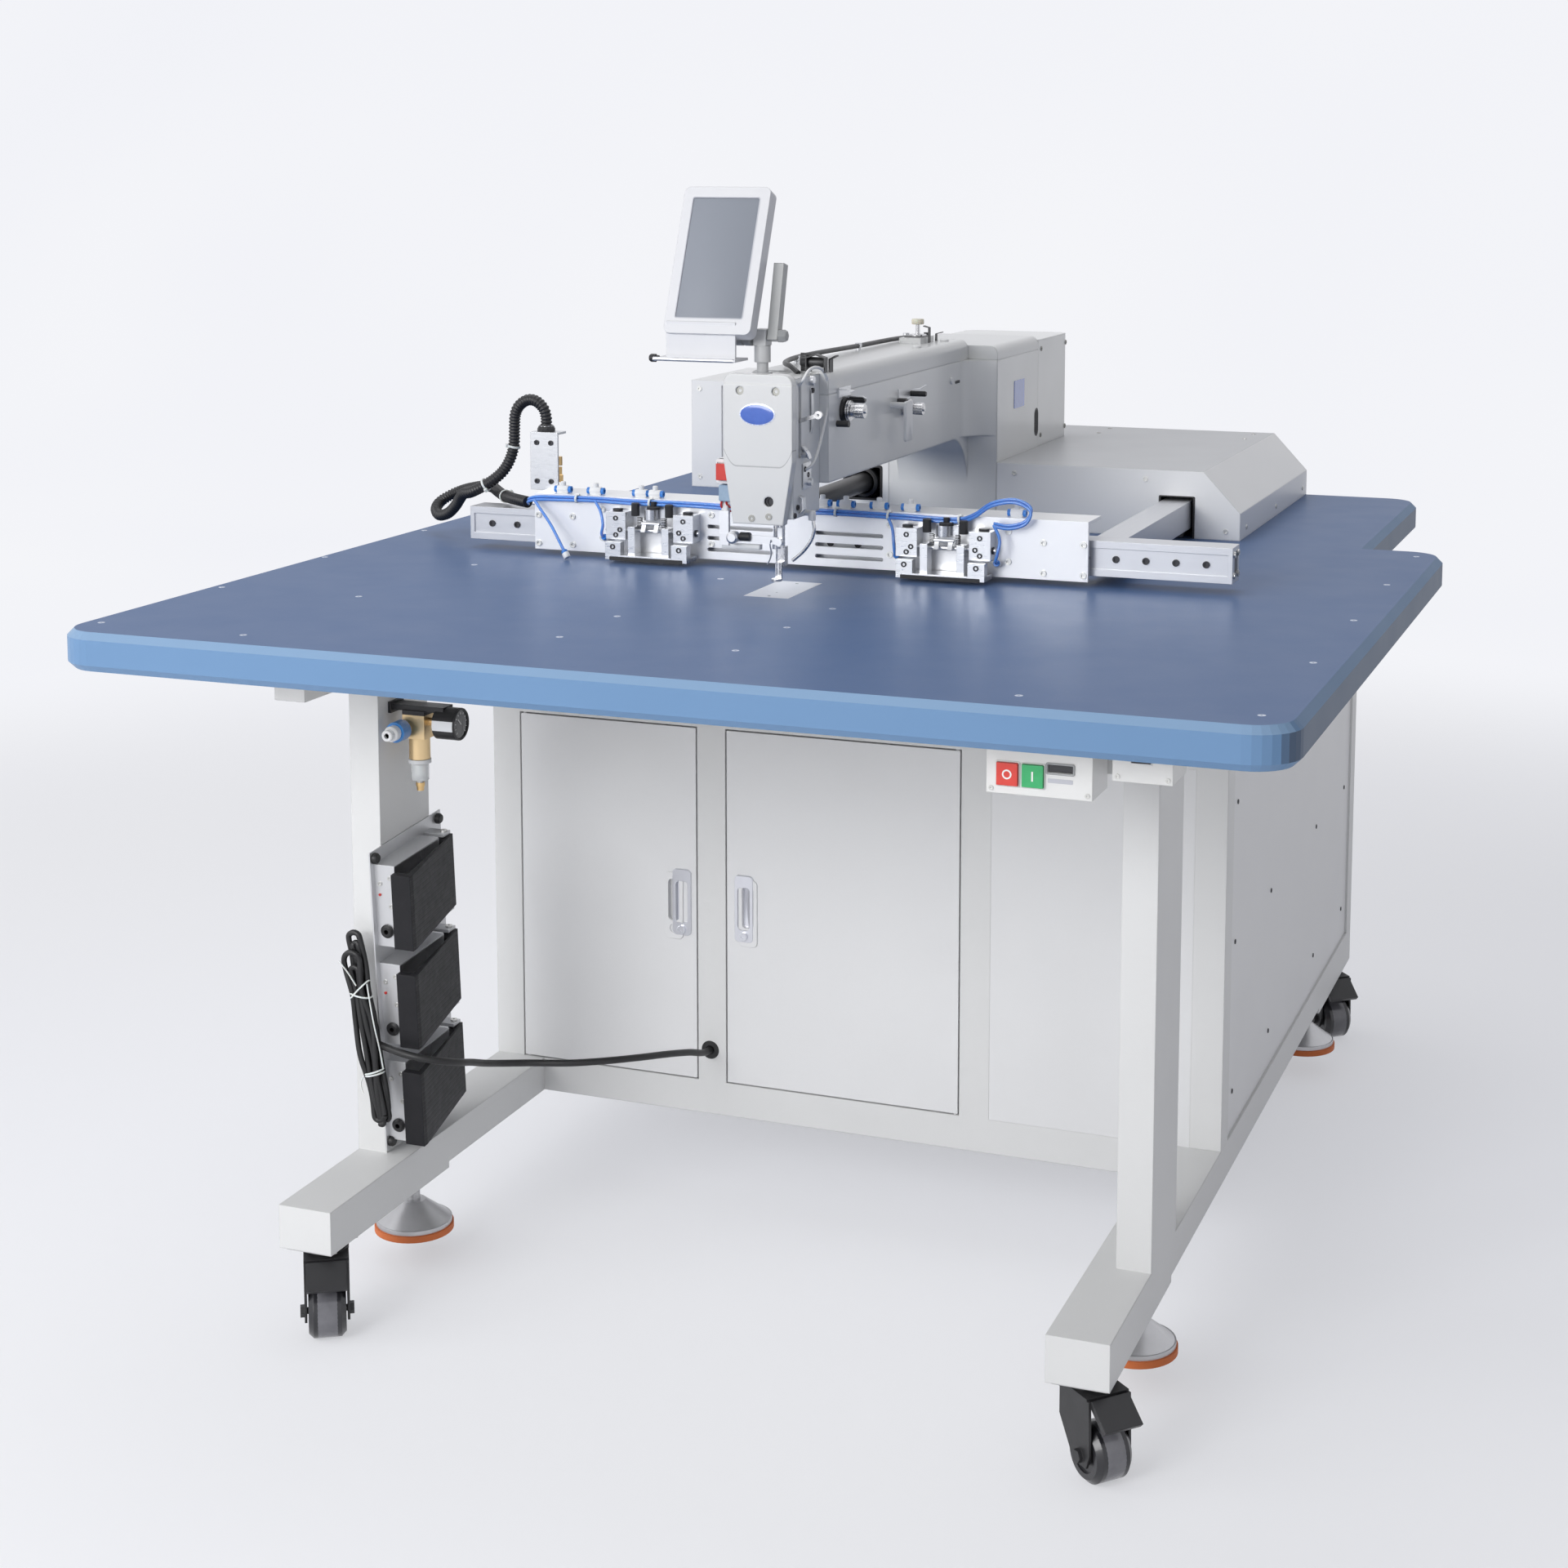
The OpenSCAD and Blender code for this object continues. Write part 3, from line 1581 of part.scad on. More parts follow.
module pedal_tread(i) {
    // moulded tread with a thick front lip
    gap = 1;
    w = tread_w - 8 - 2 * gap;
    color("black")
        at_bank()
            translate([0, 0, tread_z(i) + 4 + gap]) {
                linear_extrude(height = w)
                    polygon([[bank_t + housing_h + 4, -8], [bank_t + housing_h + 30, -8], [bank_t + housing_h + 30, 0],
                             [pivot_x + 8, pivot_y + 8], [pivot_x - 5, pivot_y + 8], [pivot_x - 5, pivot_y - 6],
                             [bank_t + housing_h + 5, pivot_y - 20], [bank_t + housing_h + 22, 2],
                             [bank_t + housing_h + 4, 2]]);
                translate([pivot_x, pivot_y, -gap - 4])
                    cylinder(h = w + 2 * gap + 8, r = 2.5);
            }
}

module pedal_tread_bottom() {
    pedal_tread(0);
}

module pedal_tread_middle() {
    pedal_tread(1);
}

module pedal_tread_top() {
    pedal_tread(2);
}

side_frame_left();
side_frame_right();
cabinet_frame();
cabinet_panels();
door_left();
door_centre();
tabletop();
needle_plate();
bed_casting();
arm_casting();
arm_cover();
column_cover();
drive_cover();
control_box();
face_cover();
main_shaft();
hook();
needle_bar();
presser_foot();
take_up_lever();
main_tension();
second_tension();
winder_spindle();
y_drive();
x_beam();
y_arms();
clamp_plate();
clamp_bases();
clamp_jaw_left();
clamp_jaw_right();
hose_bracket();
air_hose();
air_tubes();
pedal_cable();
pedal_hank();
panel_post();
panel_arm();
control_panel();
servo_box();
switch_box();
usb_box();
stop_button();
start_button();
halt_button();
air_regulator();
filter_bowl();
slide_valve();
pedal_bank();
pedal_tread_top();
pedal_tread_middle();
pedal_tread_bottom();
levelling_feet();
caster_fork_fl();
caster_fork_fr();
caster_fork_rl();
caster_fork_rr();
caster_wheel_fl();
caster_wheel_fr();
caster_wheel_rl();
caster_wheel_rr();
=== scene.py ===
import math

import bmesh
import bpy
from mathutils import Matrix, Vector


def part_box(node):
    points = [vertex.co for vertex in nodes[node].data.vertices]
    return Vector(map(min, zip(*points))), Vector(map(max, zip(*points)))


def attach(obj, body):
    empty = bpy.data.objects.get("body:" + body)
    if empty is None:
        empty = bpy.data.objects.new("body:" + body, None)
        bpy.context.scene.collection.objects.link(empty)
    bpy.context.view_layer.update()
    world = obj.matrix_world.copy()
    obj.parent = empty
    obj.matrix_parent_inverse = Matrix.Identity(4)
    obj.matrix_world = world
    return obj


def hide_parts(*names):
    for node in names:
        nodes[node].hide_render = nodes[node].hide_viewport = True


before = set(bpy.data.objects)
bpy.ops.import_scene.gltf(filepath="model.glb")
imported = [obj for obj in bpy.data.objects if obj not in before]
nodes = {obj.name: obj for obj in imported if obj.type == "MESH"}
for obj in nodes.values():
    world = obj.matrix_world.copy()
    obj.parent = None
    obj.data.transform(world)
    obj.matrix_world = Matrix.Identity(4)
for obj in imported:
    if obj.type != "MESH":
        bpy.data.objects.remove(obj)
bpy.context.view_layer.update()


# Studio: a pale floor that rises into a pale wall, a camera at standing height, and
# three large soft lamps. None of it belongs to the machine.
table_front = -0.8425


def at(x, y, z):
    """A place in millimetres from the middle of the table's front edge, on the floor."""
    return Vector((x / 1000, y / 1000 + table_front, z / 1000))


class Value:
    """A shader socket that can be added, multiplied and compared like a number."""

    def __init__(self, tree, socket):
        self.tree = tree
        self.socket = socket

    def maths(self, operation, *others):
        node = self.tree.nodes.new("ShaderNodeMath")
        node.operation = operation
        for slot, value in zip(node.inputs, others):
            if isinstance(value, Value):
                self.tree.links.new(value.socket, slot)
            else:
                slot.default_value = value
        return Value(self.tree, node.outputs[0])

    def __add__(self, other):
        return self.maths("ADD", self, other)

    def __radd__(self, other):
        return self.maths("ADD", other, self)

    def __sub__(self, other):
        return self.maths("SUBTRACT", self, other)

    def __rsub__(self, other):
        return self.maths("SUBTRACT", other, self)

    def __mul__(self, other):
        return self.maths("MULTIPLY", self, other)

    def __rmul__(self, other):
        return self.maths("MULTIPLY", other, self)

    def __gt__(self, other):
        return self.maths("GREATER_THAN", self, other)

    def __lt__(self, other):
        return self.maths("LESS_THAN", self, other)

    def __abs__(self):
        return self.maths("ABSOLUTE", self)

    def fade(self, low, high):
        """0 below low, 1 above high, and a soft step between them."""
        node = self.tree.nodes.new("ShaderNodeMapRange")
        node.interpolation_type = "SMOOTHSTEP"
        self.tree.links.new(self.socket, node.inputs["Value"])
        node.inputs["From Min"].default_value = low
        node.inputs["From Max"].default_value = high
        return Value(self.tree, node.outputs[0])

    def wave(self, pitch):
        """A smooth wave from -1 to 1 that repeats at each pitch."""
        turn = self * (2 * math.pi / pitch)
        return turn.maths("SINE", turn)


class Finish:
    """One material, built up from its surface colour, its gloss and its fine relief."""

    def __init__(self, name, colour, roughness, slot=None, **constants):
        self.slot = slot
        self.material = bpy.data.materials.new(name)
        self.material.use_nodes = True
        self.tree = self.material.node_tree
        self.surface = self.tree.nodes["Principled BSDF"]
        self.material.diffuse_color = (*colour, 1)
        self.set("Base Color", (*colour, 1))
        self.set("Roughness", roughness)
        for socket, value in constants.items():
            self.set(socket.replace("_", " "), value)
        self.place = self.node("TexCoord").outputs["Object"]

    def set(self, socket, value, node=None):
        slot = (node or self.surface).inputs[socket]
        if isinstance(value, Value):
            self.tree.links.new(value.socket, slot)
        elif isinstance(value, bpy.types.NodeSocket):
            self.tree.links.new(value, slot)
        else:
            slot.default_value = value

    def node(self, kind, settings=None, **sockets):
        made = self.tree.nodes.new("ShaderNode" + kind)
        for key, value in (settings or {}).items():
            setattr(made, key, value)
        for socket, value in sockets.items():
            self.set(socket.replace("_", " "), value, made)
        return made

    def axis(self, index):
        """The surface point's x, y or z in metres."""
        return Value(self.tree, self.node("SeparateXYZ", Vector=self.place).outputs[index])

    def facing(self, index):
        """How far the surface looks along x, y or z."""
        normal = self.node("NewGeometry").outputs["True Normal"]
        return Value(self.tree, self.node("SeparateXYZ", Vector=normal).outputs[index])

    def noise(self, size, detail=2.0, stretch=(1, 1, 1)):
        """Cloudy variation from 0 to 1 whose patches are about size millimetres across."""
        turned = self.node("Mapping", Vector=self.place, Scale=stretch).outputs[0]
        made = self.node("TexNoise", Vector=turned, Scale=1000 / size, Detail=detail)
        return Value(self.tree, made.outputs[0])

    def blend(self, factor, first, second):
        """A colour between two colours, each a plain one or a socket."""
        made = self.node("Mix", {"data_type": "RGBA"})
        self.set(0, factor, made)
        for slot, colour in ((6, first), (7, second)):
            plain = isinstance(colour, tuple) and len(colour) == 3
            self.set(slot, (*colour, 1) if plain else colour, made)
        return made.outputs[2]

    def clouds(self, size, first, second, detail=2.0):
        """The surface drifts between two colours."""
        self.set("Base Color", self.blend(self.noise(size, detail), first, second))

    def gloss(self, least, spread, size, detail=2.0):
        """The roughness drifts from its least value over a spread."""
        self.set("Roughness", least + spread * self.noise(size, detail))

    def relief(self, height, depth, strength, rounding=0):
        """Fine bumps of a depth in millimetres, over edges rounded so that they catch the light."""
        bump = self.node("Bump", Height=height, Distance=depth / 1000, Strength=strength)
        if rounding:
            edge = self.node("Bevel", {"samples": 4}, Radius=rounding / 1000)
            self.set("Normal", edge.outputs[0], bump)
        self.set("Normal", bump.outputs[0])

    def grain(self, size, depth, strength, rounding=0, detail=2.0):
        """Relief of one size of bump, all over."""
        self.relief(self.noise(size, detail), depth, strength, rounding)


def piece(name, mesh, finish, body="base", smooth=35, slot=None):
    """A finished object at the origin, riding on a body. Edges sharper than smooth degrees stay
    sharp. The slot is not used."""
    if isinstance(mesh, bmesh.types.BMesh):
        made = bpy.data.meshes.new(name)
        mesh.to_mesh(made)
        mesh.free()
        mesh = made
    thing = bpy.data.objects.new(name, mesh)
    bpy.context.scene.collection.objects.link(thing)
    mesh.materials.clear()
    mesh.materials.append(finish.material)
    if smooth is not None:
        mesh.shade_smooth()
        mesh.set_sharp_from_angle(angle=math.radians(smooth))
    if body:
        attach(thing, body)
    slot = finish.slot if slot is None else slot
    return thing


floor_paint = Finish("studio_floor", (0.88, 0.885, 0.91), 0.9)
pale = floor_paint.blend(floor_paint.noise(2200, 1), (0.86, 0.87, 0.925), (0.93, 0.935, 0.955))
floor_paint.set("Base Color", pale)
rays = floor_paint.node("LightPath").outputs
seen = Value(floor_paint.tree, rays["Is Camera Ray"])
for kind in ("Is Glossy Ray", "Is Transmission Ray"):
    seen = seen.maths("MAXIMUM", seen, Value(floor_paint.tree, rays[kind]))
glow = floor_paint.node("Emission", Color=pale)
side, deep = floor_paint.axis(0), floor_paint.axis(1)
far = 0.5 + 0.5 * (side * side + deep * deep).fade(2.5, 16)
sheet = floor_paint.node("MixShader", Fac=seen * far)
floor_paint.tree.links.new(floor_paint.surface.outputs[0], sheet.inputs[1])
floor_paint.tree.links.new(glow.outputs[0], sheet.inputs[2])
floor_paint.tree.links.new(sheet.outputs[0], floor_paint.tree.nodes["Material Output"].inputs["Surface"])

sweep = bmesh.new()
outline = [(-7, 0), (5, 0)]
outline += [
    (5 + 2.5 * math.sin(a / 10 * math.pi / 2), 2.5 - 2.5 * math.cos(a / 10 * math.pi / 2)) for a in range(1, 11)
]
outline += [(7.5, 9)]
rows = [[sweep.verts.new((x, y, z)) for y, z in outline] for x in (-14, 14)]
for left, right in zip(zip(rows[0], rows[0][1:]), zip(rows[1], rows[1][1:])):
    sweep.faces.new((left[0], right[0], right[1], left[1]))
backdrop = piece("backdrop", sweep, floor_paint, None, 40)

world = bpy.data.worlds.new("studio")
bpy.context.scene.world = world
world.use_nodes = True
sky = world.node_tree.nodes["Background"]
sky.inputs["Color"].default_value = (0.93, 0.93, 0.95, 1)
sky.inputs["Strength"].default_value = 0.38
paper = world.node_tree.nodes.new("ShaderNodeBackground")
paper.inputs["Color"].default_value = (0.9, 0.905, 0.94, 1)
rays = world.node_tree.nodes.new("ShaderNodeLightPath")
either = world.node_tree.nodes.new("ShaderNodeMath")
either.operation = "MAXIMUM"
choice = world.node_tree.nodes.new("ShaderNodeMixShader")
for source, target in (
    (rays.outputs["Is Camera Ray"], either.inputs[0]), (rays.outputs["Is Glossy Ray"], either.inputs[1]),
    (either.outputs[0], choice.inputs[0]), (sky.outputs[0], choice.inputs[1]), (paper.outputs[0], choice.inputs[2]),
    (choice.outputs[0], world.node_tree.nodes["World Output"].inputs["Surface"]),
):
    world.node_tree.links.new(source, target)

for name, place, aim, size, watts in (
    ("key_lamp", (-1.2, -4.7, 2.3), (0, -0.2, 0.6), 2.4, 122),
    ("fill_lamp", (-3.2, -2.8, 2.8), (0, 0, 0.7), 3, 45),
    ("top_lamp", (-0.6, 0.8, 4.2), (0, 0.1, 0.8), 3, 32),
):
    lamp = bpy.data.lights.new(name, "AREA")
    lamp.shape = "DISK"
    lamp.size = size
    lamp.energy = watts
    holder = bpy.data.objects.new(name, lamp)
    bpy.context.scene.collection.objects.link(holder)
    holder.location = place
    holder.rotation_euler = (Vector(aim) - Vector(place)).to_track_quat("-Z", "Y").to_euler()

camera = bpy.data.objects.new("camera", bpy.data.cameras.new("camera"))
bpy.context.scene.collection.objects.link(camera)
camera.location = (1.1114, -3.1991, 1.3994)
camera.rotation_euler = (math.radians(82.836), 0, math.radians(20.967))
camera.data.lens = 59.05
camera.data.shift_x = -0.0115
camera.data.shift_y = -0.2
bpy.context.scene.camera = camera
bpy.context.scene.view_settings.view_transform = "Standard"


# Air hose: a short corrugated black conduit that leads the tubes from the bracket's
# nozzle round a loose loop to the left end of the clamp plate. Nylon ties hold the loop.
up, front, east = (0, 0, 1), (0, -1, 0), (1, 0, 0)


def smooth_path(points, steps):
    """Closer points along the smooth curve through the given ones."""
    points = [Vector(p) for p in points]
    ends = [2 * points[0] - points[1], *points, 2 * points[-1] - points[-2]]
    path = []
    for a, b, c, d in zip(ends, ends[1:], ends[2:], ends[3:]):
        for i in range(steps):
            t = i / steps
            slope, bend, twist = c - a, 2 * a - 5 * b + 4 * c - d, 3 * b - a - 3 * c + d
            path.append(0.5 * (2 * b + slope * t + bend * t**2 + twist * t**3))
    return [*path, points[-1]]


def path_length(path):
    """The length of a run of straight steps."""
    return sum((b - a).length for a, b in zip(path, path[1:]))


def walk(path, spacing):
    """Points and directions at even spacing along a path."""
    found, travelled, wanted = [], 0.0, 0.0
    for a, b in zip(path, path[1:]):
        step = (b - a).length
        while step and travelled + step >= wanted:
            found.append((a.lerp(b, (wanted - travelled) / step), (b - a).normalized()))
            wanted += spacing
        travelled += step
    return found


def lathe(profile, sides=24, place=(0, 0, 0), axis=up):
    """A turned part: radius and height pairs in millimetres, spun round an axis."""
    turned = bmesh.new()
    turn = [2 * math.pi * i / sides for i in range(sides)]
    rings = []
    for radius, height in profile:
        radius, height = radius / 1000, height / 1000
        if radius:
            rings.append([turned.verts.new((radius * math.cos(a), radius * math.sin(a), height)) for a in turn])
        else:
            rings.append([turned.verts.new((0, 0, height))] * sides)
    for low, high in zip(rings, rings[1:]):
        for i in range(sides):
            corners = [low[i], low[(i + 1) % sides], high[(i + 1) % sides], high[i]]
            corners = [c for n, c in enumerate(corners) if c not in corners[:n]]
            if len(corners) > 2:
                turned.faces.new(corners)
    for ring in (rings[0], rings[-1]):
        if ring[0] is not ring[1]:
            turned.faces.new(ring)
    bmesh.ops.recalc_face_normals(turned, faces=turned.faces)
    spin = Vector(axis).to_track_quat("Z", "Y").to_matrix().to_4x4()
    bmesh.ops.transform(turned, matrix=Matrix.Translation(place) @ spin, verts=turned.verts)
    return turned


def solid(profile, sides, place, axis=up):
    """A turned part whose flat ends close on its axis."""
    return lathe([(0, profile[0][1]), *profile, (0, profile[-1][1])], sides, place, axis)


def pin(radius, height, sides, place, axis=up):
    """A plain round pin, or a bar where it has few sides."""
    return solid([(radius, 0), (radius, height)], sides, place, axis)


def shell(rings, close="both"):
    """Quads between rings of points. It is closed at both ends, at its last ring, or round on itself."""
    mesh = bmesh.new()
    rings = [[mesh.verts.new(point) for point in ring] for ring in rings]
    for low, high in zip(rings, rings[1:] + (rings[:1] if close == "round" else [])):
        for k in range(len(low)):
            n = (k + 1) % len(low)
            mesh.faces.new((low[k], low[n], high[n], high[k]))
    if close == "both":
        mesh.faces.new(rings[0][::-1])
    if close != "round":
        mesh.faces.new(rings[-1])
    if close != "last":
        bmesh.ops.recalc_face_normals(mesh, faces=mesh.faces)
    return mesh


def join(*parts):
    """Several bmeshes as one."""
    whole = bmesh.new()
    for part in parts:
        made = bpy.data.meshes.new("part")
        part.to_mesh(made)
        part.free()
        whole.from_mesh(made)
        bpy.data.meshes.remove(made)
    return whole


def tube_mesh(path, radius, sides):
    """A round tube along a path, closed at both ends, with its length in the UV's V. The radius
    is in millimetres, or a list of one for each point."""
    tube = bmesh.new()
    uv = tube.loops.layers.uv.new("run")
    side = (path[1] - path[0]).orthogonal().normalized()
    turn = [2 * math.pi * k / sides for k in range(sides)]
    rings, lengths, run = [], [], 0.0
    for i, point in enumerate(path):
        ahead = (path[min(i + 1, len(path) - 1)] - path[max(i - 1, 0)]).normalized()
        side = (side - ahead * side.dot(ahead)).normalized()
        over = ahead.cross(side)
        wide = (radius[i] if isinstance(radius, list) else radius) / 1000
        rings.append([tube.verts.new(point + wide * (math.cos(a) * side + math.sin(a) * over)) for a in turn])
        run += (point - path[i - 1]).length if i else 0.0
        lengths.append(run)
    for i, (low, high) in enumerate(zip(rings, rings[1:])):
        for k in range(sides):
            face = tube.faces.new((low[k], low[(k + 1) % sides], high[(k + 1) % sides], high[k]))
            for loop, (u, v) in zip(face.loops, ((k, i), (k + 1, i), (k + 1, i + 1), (k, i + 1))):
                loop[uv].uv = (u / sides, lengths[v])
    tube.faces.new(rings[0][::-1])
    tube.faces.new(rings[-1])
    return tube


def tie_band(point, direction, radius):
    """A cable tie drawn round a bundle, with its square head."""
    wide, outer = 1.4, radius + 1.1
    band = lathe(
        [(radius, -wide), (outer, -wide), (outer, wide), (radius, wide), (radius, -wide)], 20, point, direction
    )
    out = Vector(direction).orthogonal().normalized()
    ahead = Vector(direction).normalized()
    stance = Matrix((out, ahead.cross(out), ahead)).transposed().to_4x4() @ Matrix.Diagonal((0.0034, 0.0048, 0.0046, 1))
    head = bmesh.new()
    bmesh.ops.create_cube(head, size=1.0)
    place = Matrix.Translation(Vector(point) + out * (radius + 1.8) / 1000)
    bmesh.ops.transform(head, matrix=place @ stance, verts=head.verts)
    return join(band, head)


hose_rubber = Finish("corrugated_black", (0.012, 0.012, 0.014), 0.38, Specular_IOR_Level=0.5)
hose_rubber.gloss(0.3, 0.22, 20)
hose_rubber.grain(1.6, 0.2, 0.4)

hose_points = [
    (-441, 733, 1028), (-441, 733, 1039), (-445, 733, 1051), (-456, 734, 1060), (-470, 736, 1061), (-483, 737, 1053),
    (-490, 738, 1040), (-492, 739, 1020), (-493, 739, 1000), (-498, 738, 981), (-508, 737, 964), (-522, 735, 951),
    (-540, 734, 940), (-560, 739, 931), (-577, 750, 927), (-590, 763, 918), (-603, 772, 905), (-620, 782, 893),
    (-640, 794, 888), (-653, 808, 894), (-655, 824, 902), (-644, 836, 911), (-624, 838, 919), (-600, 829, 925),
    (-575, 810, 930), (-552, 788, 932), (-531, 764, 930), (-510, 742, 928), (-485, 720, 928), (-455, 703, 927),
]
hose_path = smooth_path([at(*p) for p in hose_points], 8)
quarter_ridge = 0.0011
steps = walk(hose_path, quarter_ridge)
hose_line = [p for p, _ in steps]
crest, valley = 7.9, 6.6
radii = [(crest, crest, valley, valley)[i % 4] for i in range(len(steps))]
hose = piece("air_hose_conduit", tube_mesh(hose_line, radii, 14), hose_rubber, "x_carriage", 60, slot="hose_plastic")
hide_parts("air_hose")

nylon = Finish("natural_nylon", (0.83, 0.83, 0.8), 0.42, Subsurface_Weight=0.15)
nylon.grain(2, 0.1, 0.4)
ties = [tie_band(*steps[int(len(steps) * share)], 8.2) for share in (0.31, 0.2, 0.9)]
hose_ties = piece("air_hose_ties", join(*ties), nylon, "x_carriage", 40)
path_length(hose_line)


# Air tubes: blue polyurethane tubing clipped along the top edge of the clamp plate,
# with branches that drop to the clamp cylinders and end in push-in fittings.
tube_blue = Finish(
    "blue_tubing", (0.06, 0.24, 0.72), 0.16, "tube_plastic", Coat_Weight=0.4, Coat_Roughness=0.08, Subsurface_Weight=0.1
)
tube_blue.clouds(30, (0.055, 0.22, 0.68), (0.1, 0.32, 0.84))
tube_blue.grain(6, 0.1, 0.3)
main_points = [
    (-452.7, 701.7, 927), (-446, 689, 932), (-430, 684, 936), (-396, 684, 937), (-347, 684, 938), (-290, 684, 937),
    (-218, 684, 938), (-130, 684, 937), (-26, 684, 938), (80, 684, 937), (150, 684, 936), (176, 682, 943),
    (200, 680, 959), (230, 678, 965), (251, 676, 956), (246, 674, 940), (226, 673, 933), (204, 676, 934),
]
drop_points = [
    [(-434, 681, 934), (-420, 673, 922), (-403, 667, 904), (-388, 661, 884), (-374, 655, 865)],
    [(-344, 681, 936), (-334, 675, 924), (-329, 671, 908), (-331, 672, 894), (-327, 683, 886)],
    [(64, 681, 935), (72, 674, 922), (75, 670, 905), (76, 672, 892), (77, 684, 886)],
    [(204, 676, 934), (214, 668, 918), (213, 664, 902), (209, 668, 890), (207, 684, 884)],
]
tube_runs = []
for name, shift in (("upper", Vector((0, 0.0008, 0.0021))), ("lower", Vector((0, -0.0012, -0.0017)))):
    run = smooth_path([at(*p) + shift for p in main_points], 6)
    run_tube = piece("air_tube_" + name, tube_mesh(run, 2, 10), tube_blue, "x_carriage", 60)
    tube_runs.append((run_tube, run))
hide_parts("air_tubes")
drops = []
for number, points in enumerate(drop_points):
    run = smooth_path([at(*p) for p in points], 6)
    drop = piece(f"air_tube_drop_{number + 1}", tube_mesh(run, 2, 10), tube_blue, "x_carriage", 60)
    drops.append((drop, run))

collar_blue = Finish("push_in_blue", (0.03, 0.2, 0.62), 0.35)
collar_blue.grain(2, 0.1, 0.3)
fitting_white = Finish("fitting_white", (0.8, 0.81, 0.82), 0.4, "switch_plastic")
fitting_white.grain(2, 0.1, 0.3)


def push_in(end, direction):
    """A round push-in fitting: the release collar and the barrel below it."""
    collar = lathe([(2.1, 0), (4.2, 0), (4.4, 2), (3.6, 3.5)], 16, end, direction)
    barrel = lathe([(4.5, 3.5), (4.7, 4.5), (4.7, 10), (4, 11)], 16, end, direction)
    return collar, barrel


for number, (_, run) in enumerate(drops):
    ahead = (run[-1] - run[-2]).normalized()
    collar, barrel = push_in(run[-1] - ahead * 0.009, ahead)
    piece(f"tube_collar_{number + 1}", collar, collar_blue, "x_carriage", 40)
    piece(f"tube_fitting_{number + 1}", barrel, fitting_white, "x_carriage", 40, slot="")
clips = []
upper_tube, upper_run = tube_runs[0]
for share in (0.115, 0.25, 0.4, 0.47, 0.58, 0.67, 0.79):
    place, ahead = walk(upper_run, path_length(upper_run) * share)[1]
    clips.append(tie_band(place - Vector((0, 0.001, 0.0019)), ahead, 4.3))
tube_clips = piece("tube_ties", join(*clips), nylon, "x_carriage", 40)
for tube, run in tube_runs:
    path_length(run)
for number, (tube, run) in enumerate(drops):
    path_length(run)


# Pedal cable: one round black lead from the folded hank on the left leg to the rubber
# grommet in the cabinet's post. The spare length is doubled up and tied twice.
cable_sheath = Finish("cable_black", (0.013, 0.013, 0.014), 0.42, "black_rubber")
cable_sheath.gloss(0.36, 0.2, 30)
cable_sheath.grain(1.2, 0.15, 0.4)
cable_points = [
    (-456, 288, 312), (-437, 281, 311), (-413, 276, 309), (-390, 280, 305), (-371, 295, 299), (-362, 318, 291),
    (-361, 348, 281), (-360, 380, 269), (-352, 412, 259), (-328, 440, 253), (-282, 460, 252), (-244, 486, 251),
    (-216, 524, 246), (-196, 572, 237), (-186, 618, 225), (-184, 655, 212), (-185, 684, 206), (-185, 704, 206),
]
cable_path = smooth_path([at(*p) for p in cable_points], 6)
cable = piece("pedal_lead", tube_mesh(cable_path, 4.5, 12), cable_sheath, smooth=60)
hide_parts("pedal_cable")

hank_low, hank_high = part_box("pedal_hank")
upright = Matrix.Translation((hank_low + hank_high) / 2) @ Matrix.Rotation(math.radians(-10), 4, "Y")


def squeezed(z):
    """How wide the bundle is at a height: drawn in at the two ties and below them."""
    return 1.0 - 0.26 * math.exp(-((z - 0.050) / 0.020) ** 2) - 0.34 / (1 + math.exp((z + 0.042) / 0.008))


strands = []
for middle, half, crown, foot, y, sway in (
    (-0.0016, 0.0106, 0.09, -0.104, -0.004, 0.4),
    (0.0002, 0.0042, 0.078, -0.113, -0.0042, 2),
    (0.0022, 0.0088, 0.114, -0.098, 0.0038, 3.7),
    (0.0034, 0.004, 0.106, -0.11, 0.004, 5.1),
):
    loop = []
    for side in (1, -1):
        for k in range(15):
            z = foot + (crown - foot) * (k if side > 0 else 14 - k) / 14
            wave = 0.0012 * math.sin(52 * z + sway + side)
            loop.append(Vector((middle + side * half * squeezed(z) + wave, y + 0.001 * math.sin(70 * z + 2 * sway), z)))
        end = loop[-1]
        for a in (45, 90, 135):
            bow = half * squeezed(end.z)
            turn = math.radians(a)
            loop.append(Vector((middle + side * bow * math.cos(turn), y, end.z + side * bow * math.sin(turn))))
    strands.append(tube_mesh([upright @ p for p in smooth_path(loop + loop[:1], 3)], 3.6, 10))
hank = piece("pedal_lead_hank", join(*strands), cable_sheath, smooth=60)
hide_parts("pedal_hank")
wraps = []
for height, wide, slope in (
    (0.052, 0.0142, 0.75), (0.047, 0.0142, -0.35), (-0.05, 0.0128, 0.16), (-0.053, 0.0128, 0.1)
):
    band = [
        upright @ Vector((wide * math.cos(a), 0.0098 * math.sin(a), height + slope * wide * math.cos(a)))
        for a in [2 * math.pi * k / 24 for k in range(25)]
    ]
    wraps.append(tube_mesh(band, 1.1, 6))
for tail in (
    [(0.0138, -0.004, 0.06), (0.016, -0.008, 0.04), (0.0168, -0.009, 0.01), (0.018, -0.008, -0.02),
     (0.0176, -0.007, -0.046)],
    [(0.002, -0.0098, 0.06), (-0.006, -0.011, 0.078), (-0.016, -0.01, 0.092)],
    [(-0.012, -0.004, -0.052), (-0.017, -0.008, -0.062), (-0.015, -0.01, -0.074)],
):
    wraps.append(tube_mesh(smooth_path([upright @ Vector(p) for p in tail], 4), 0.9, 6))
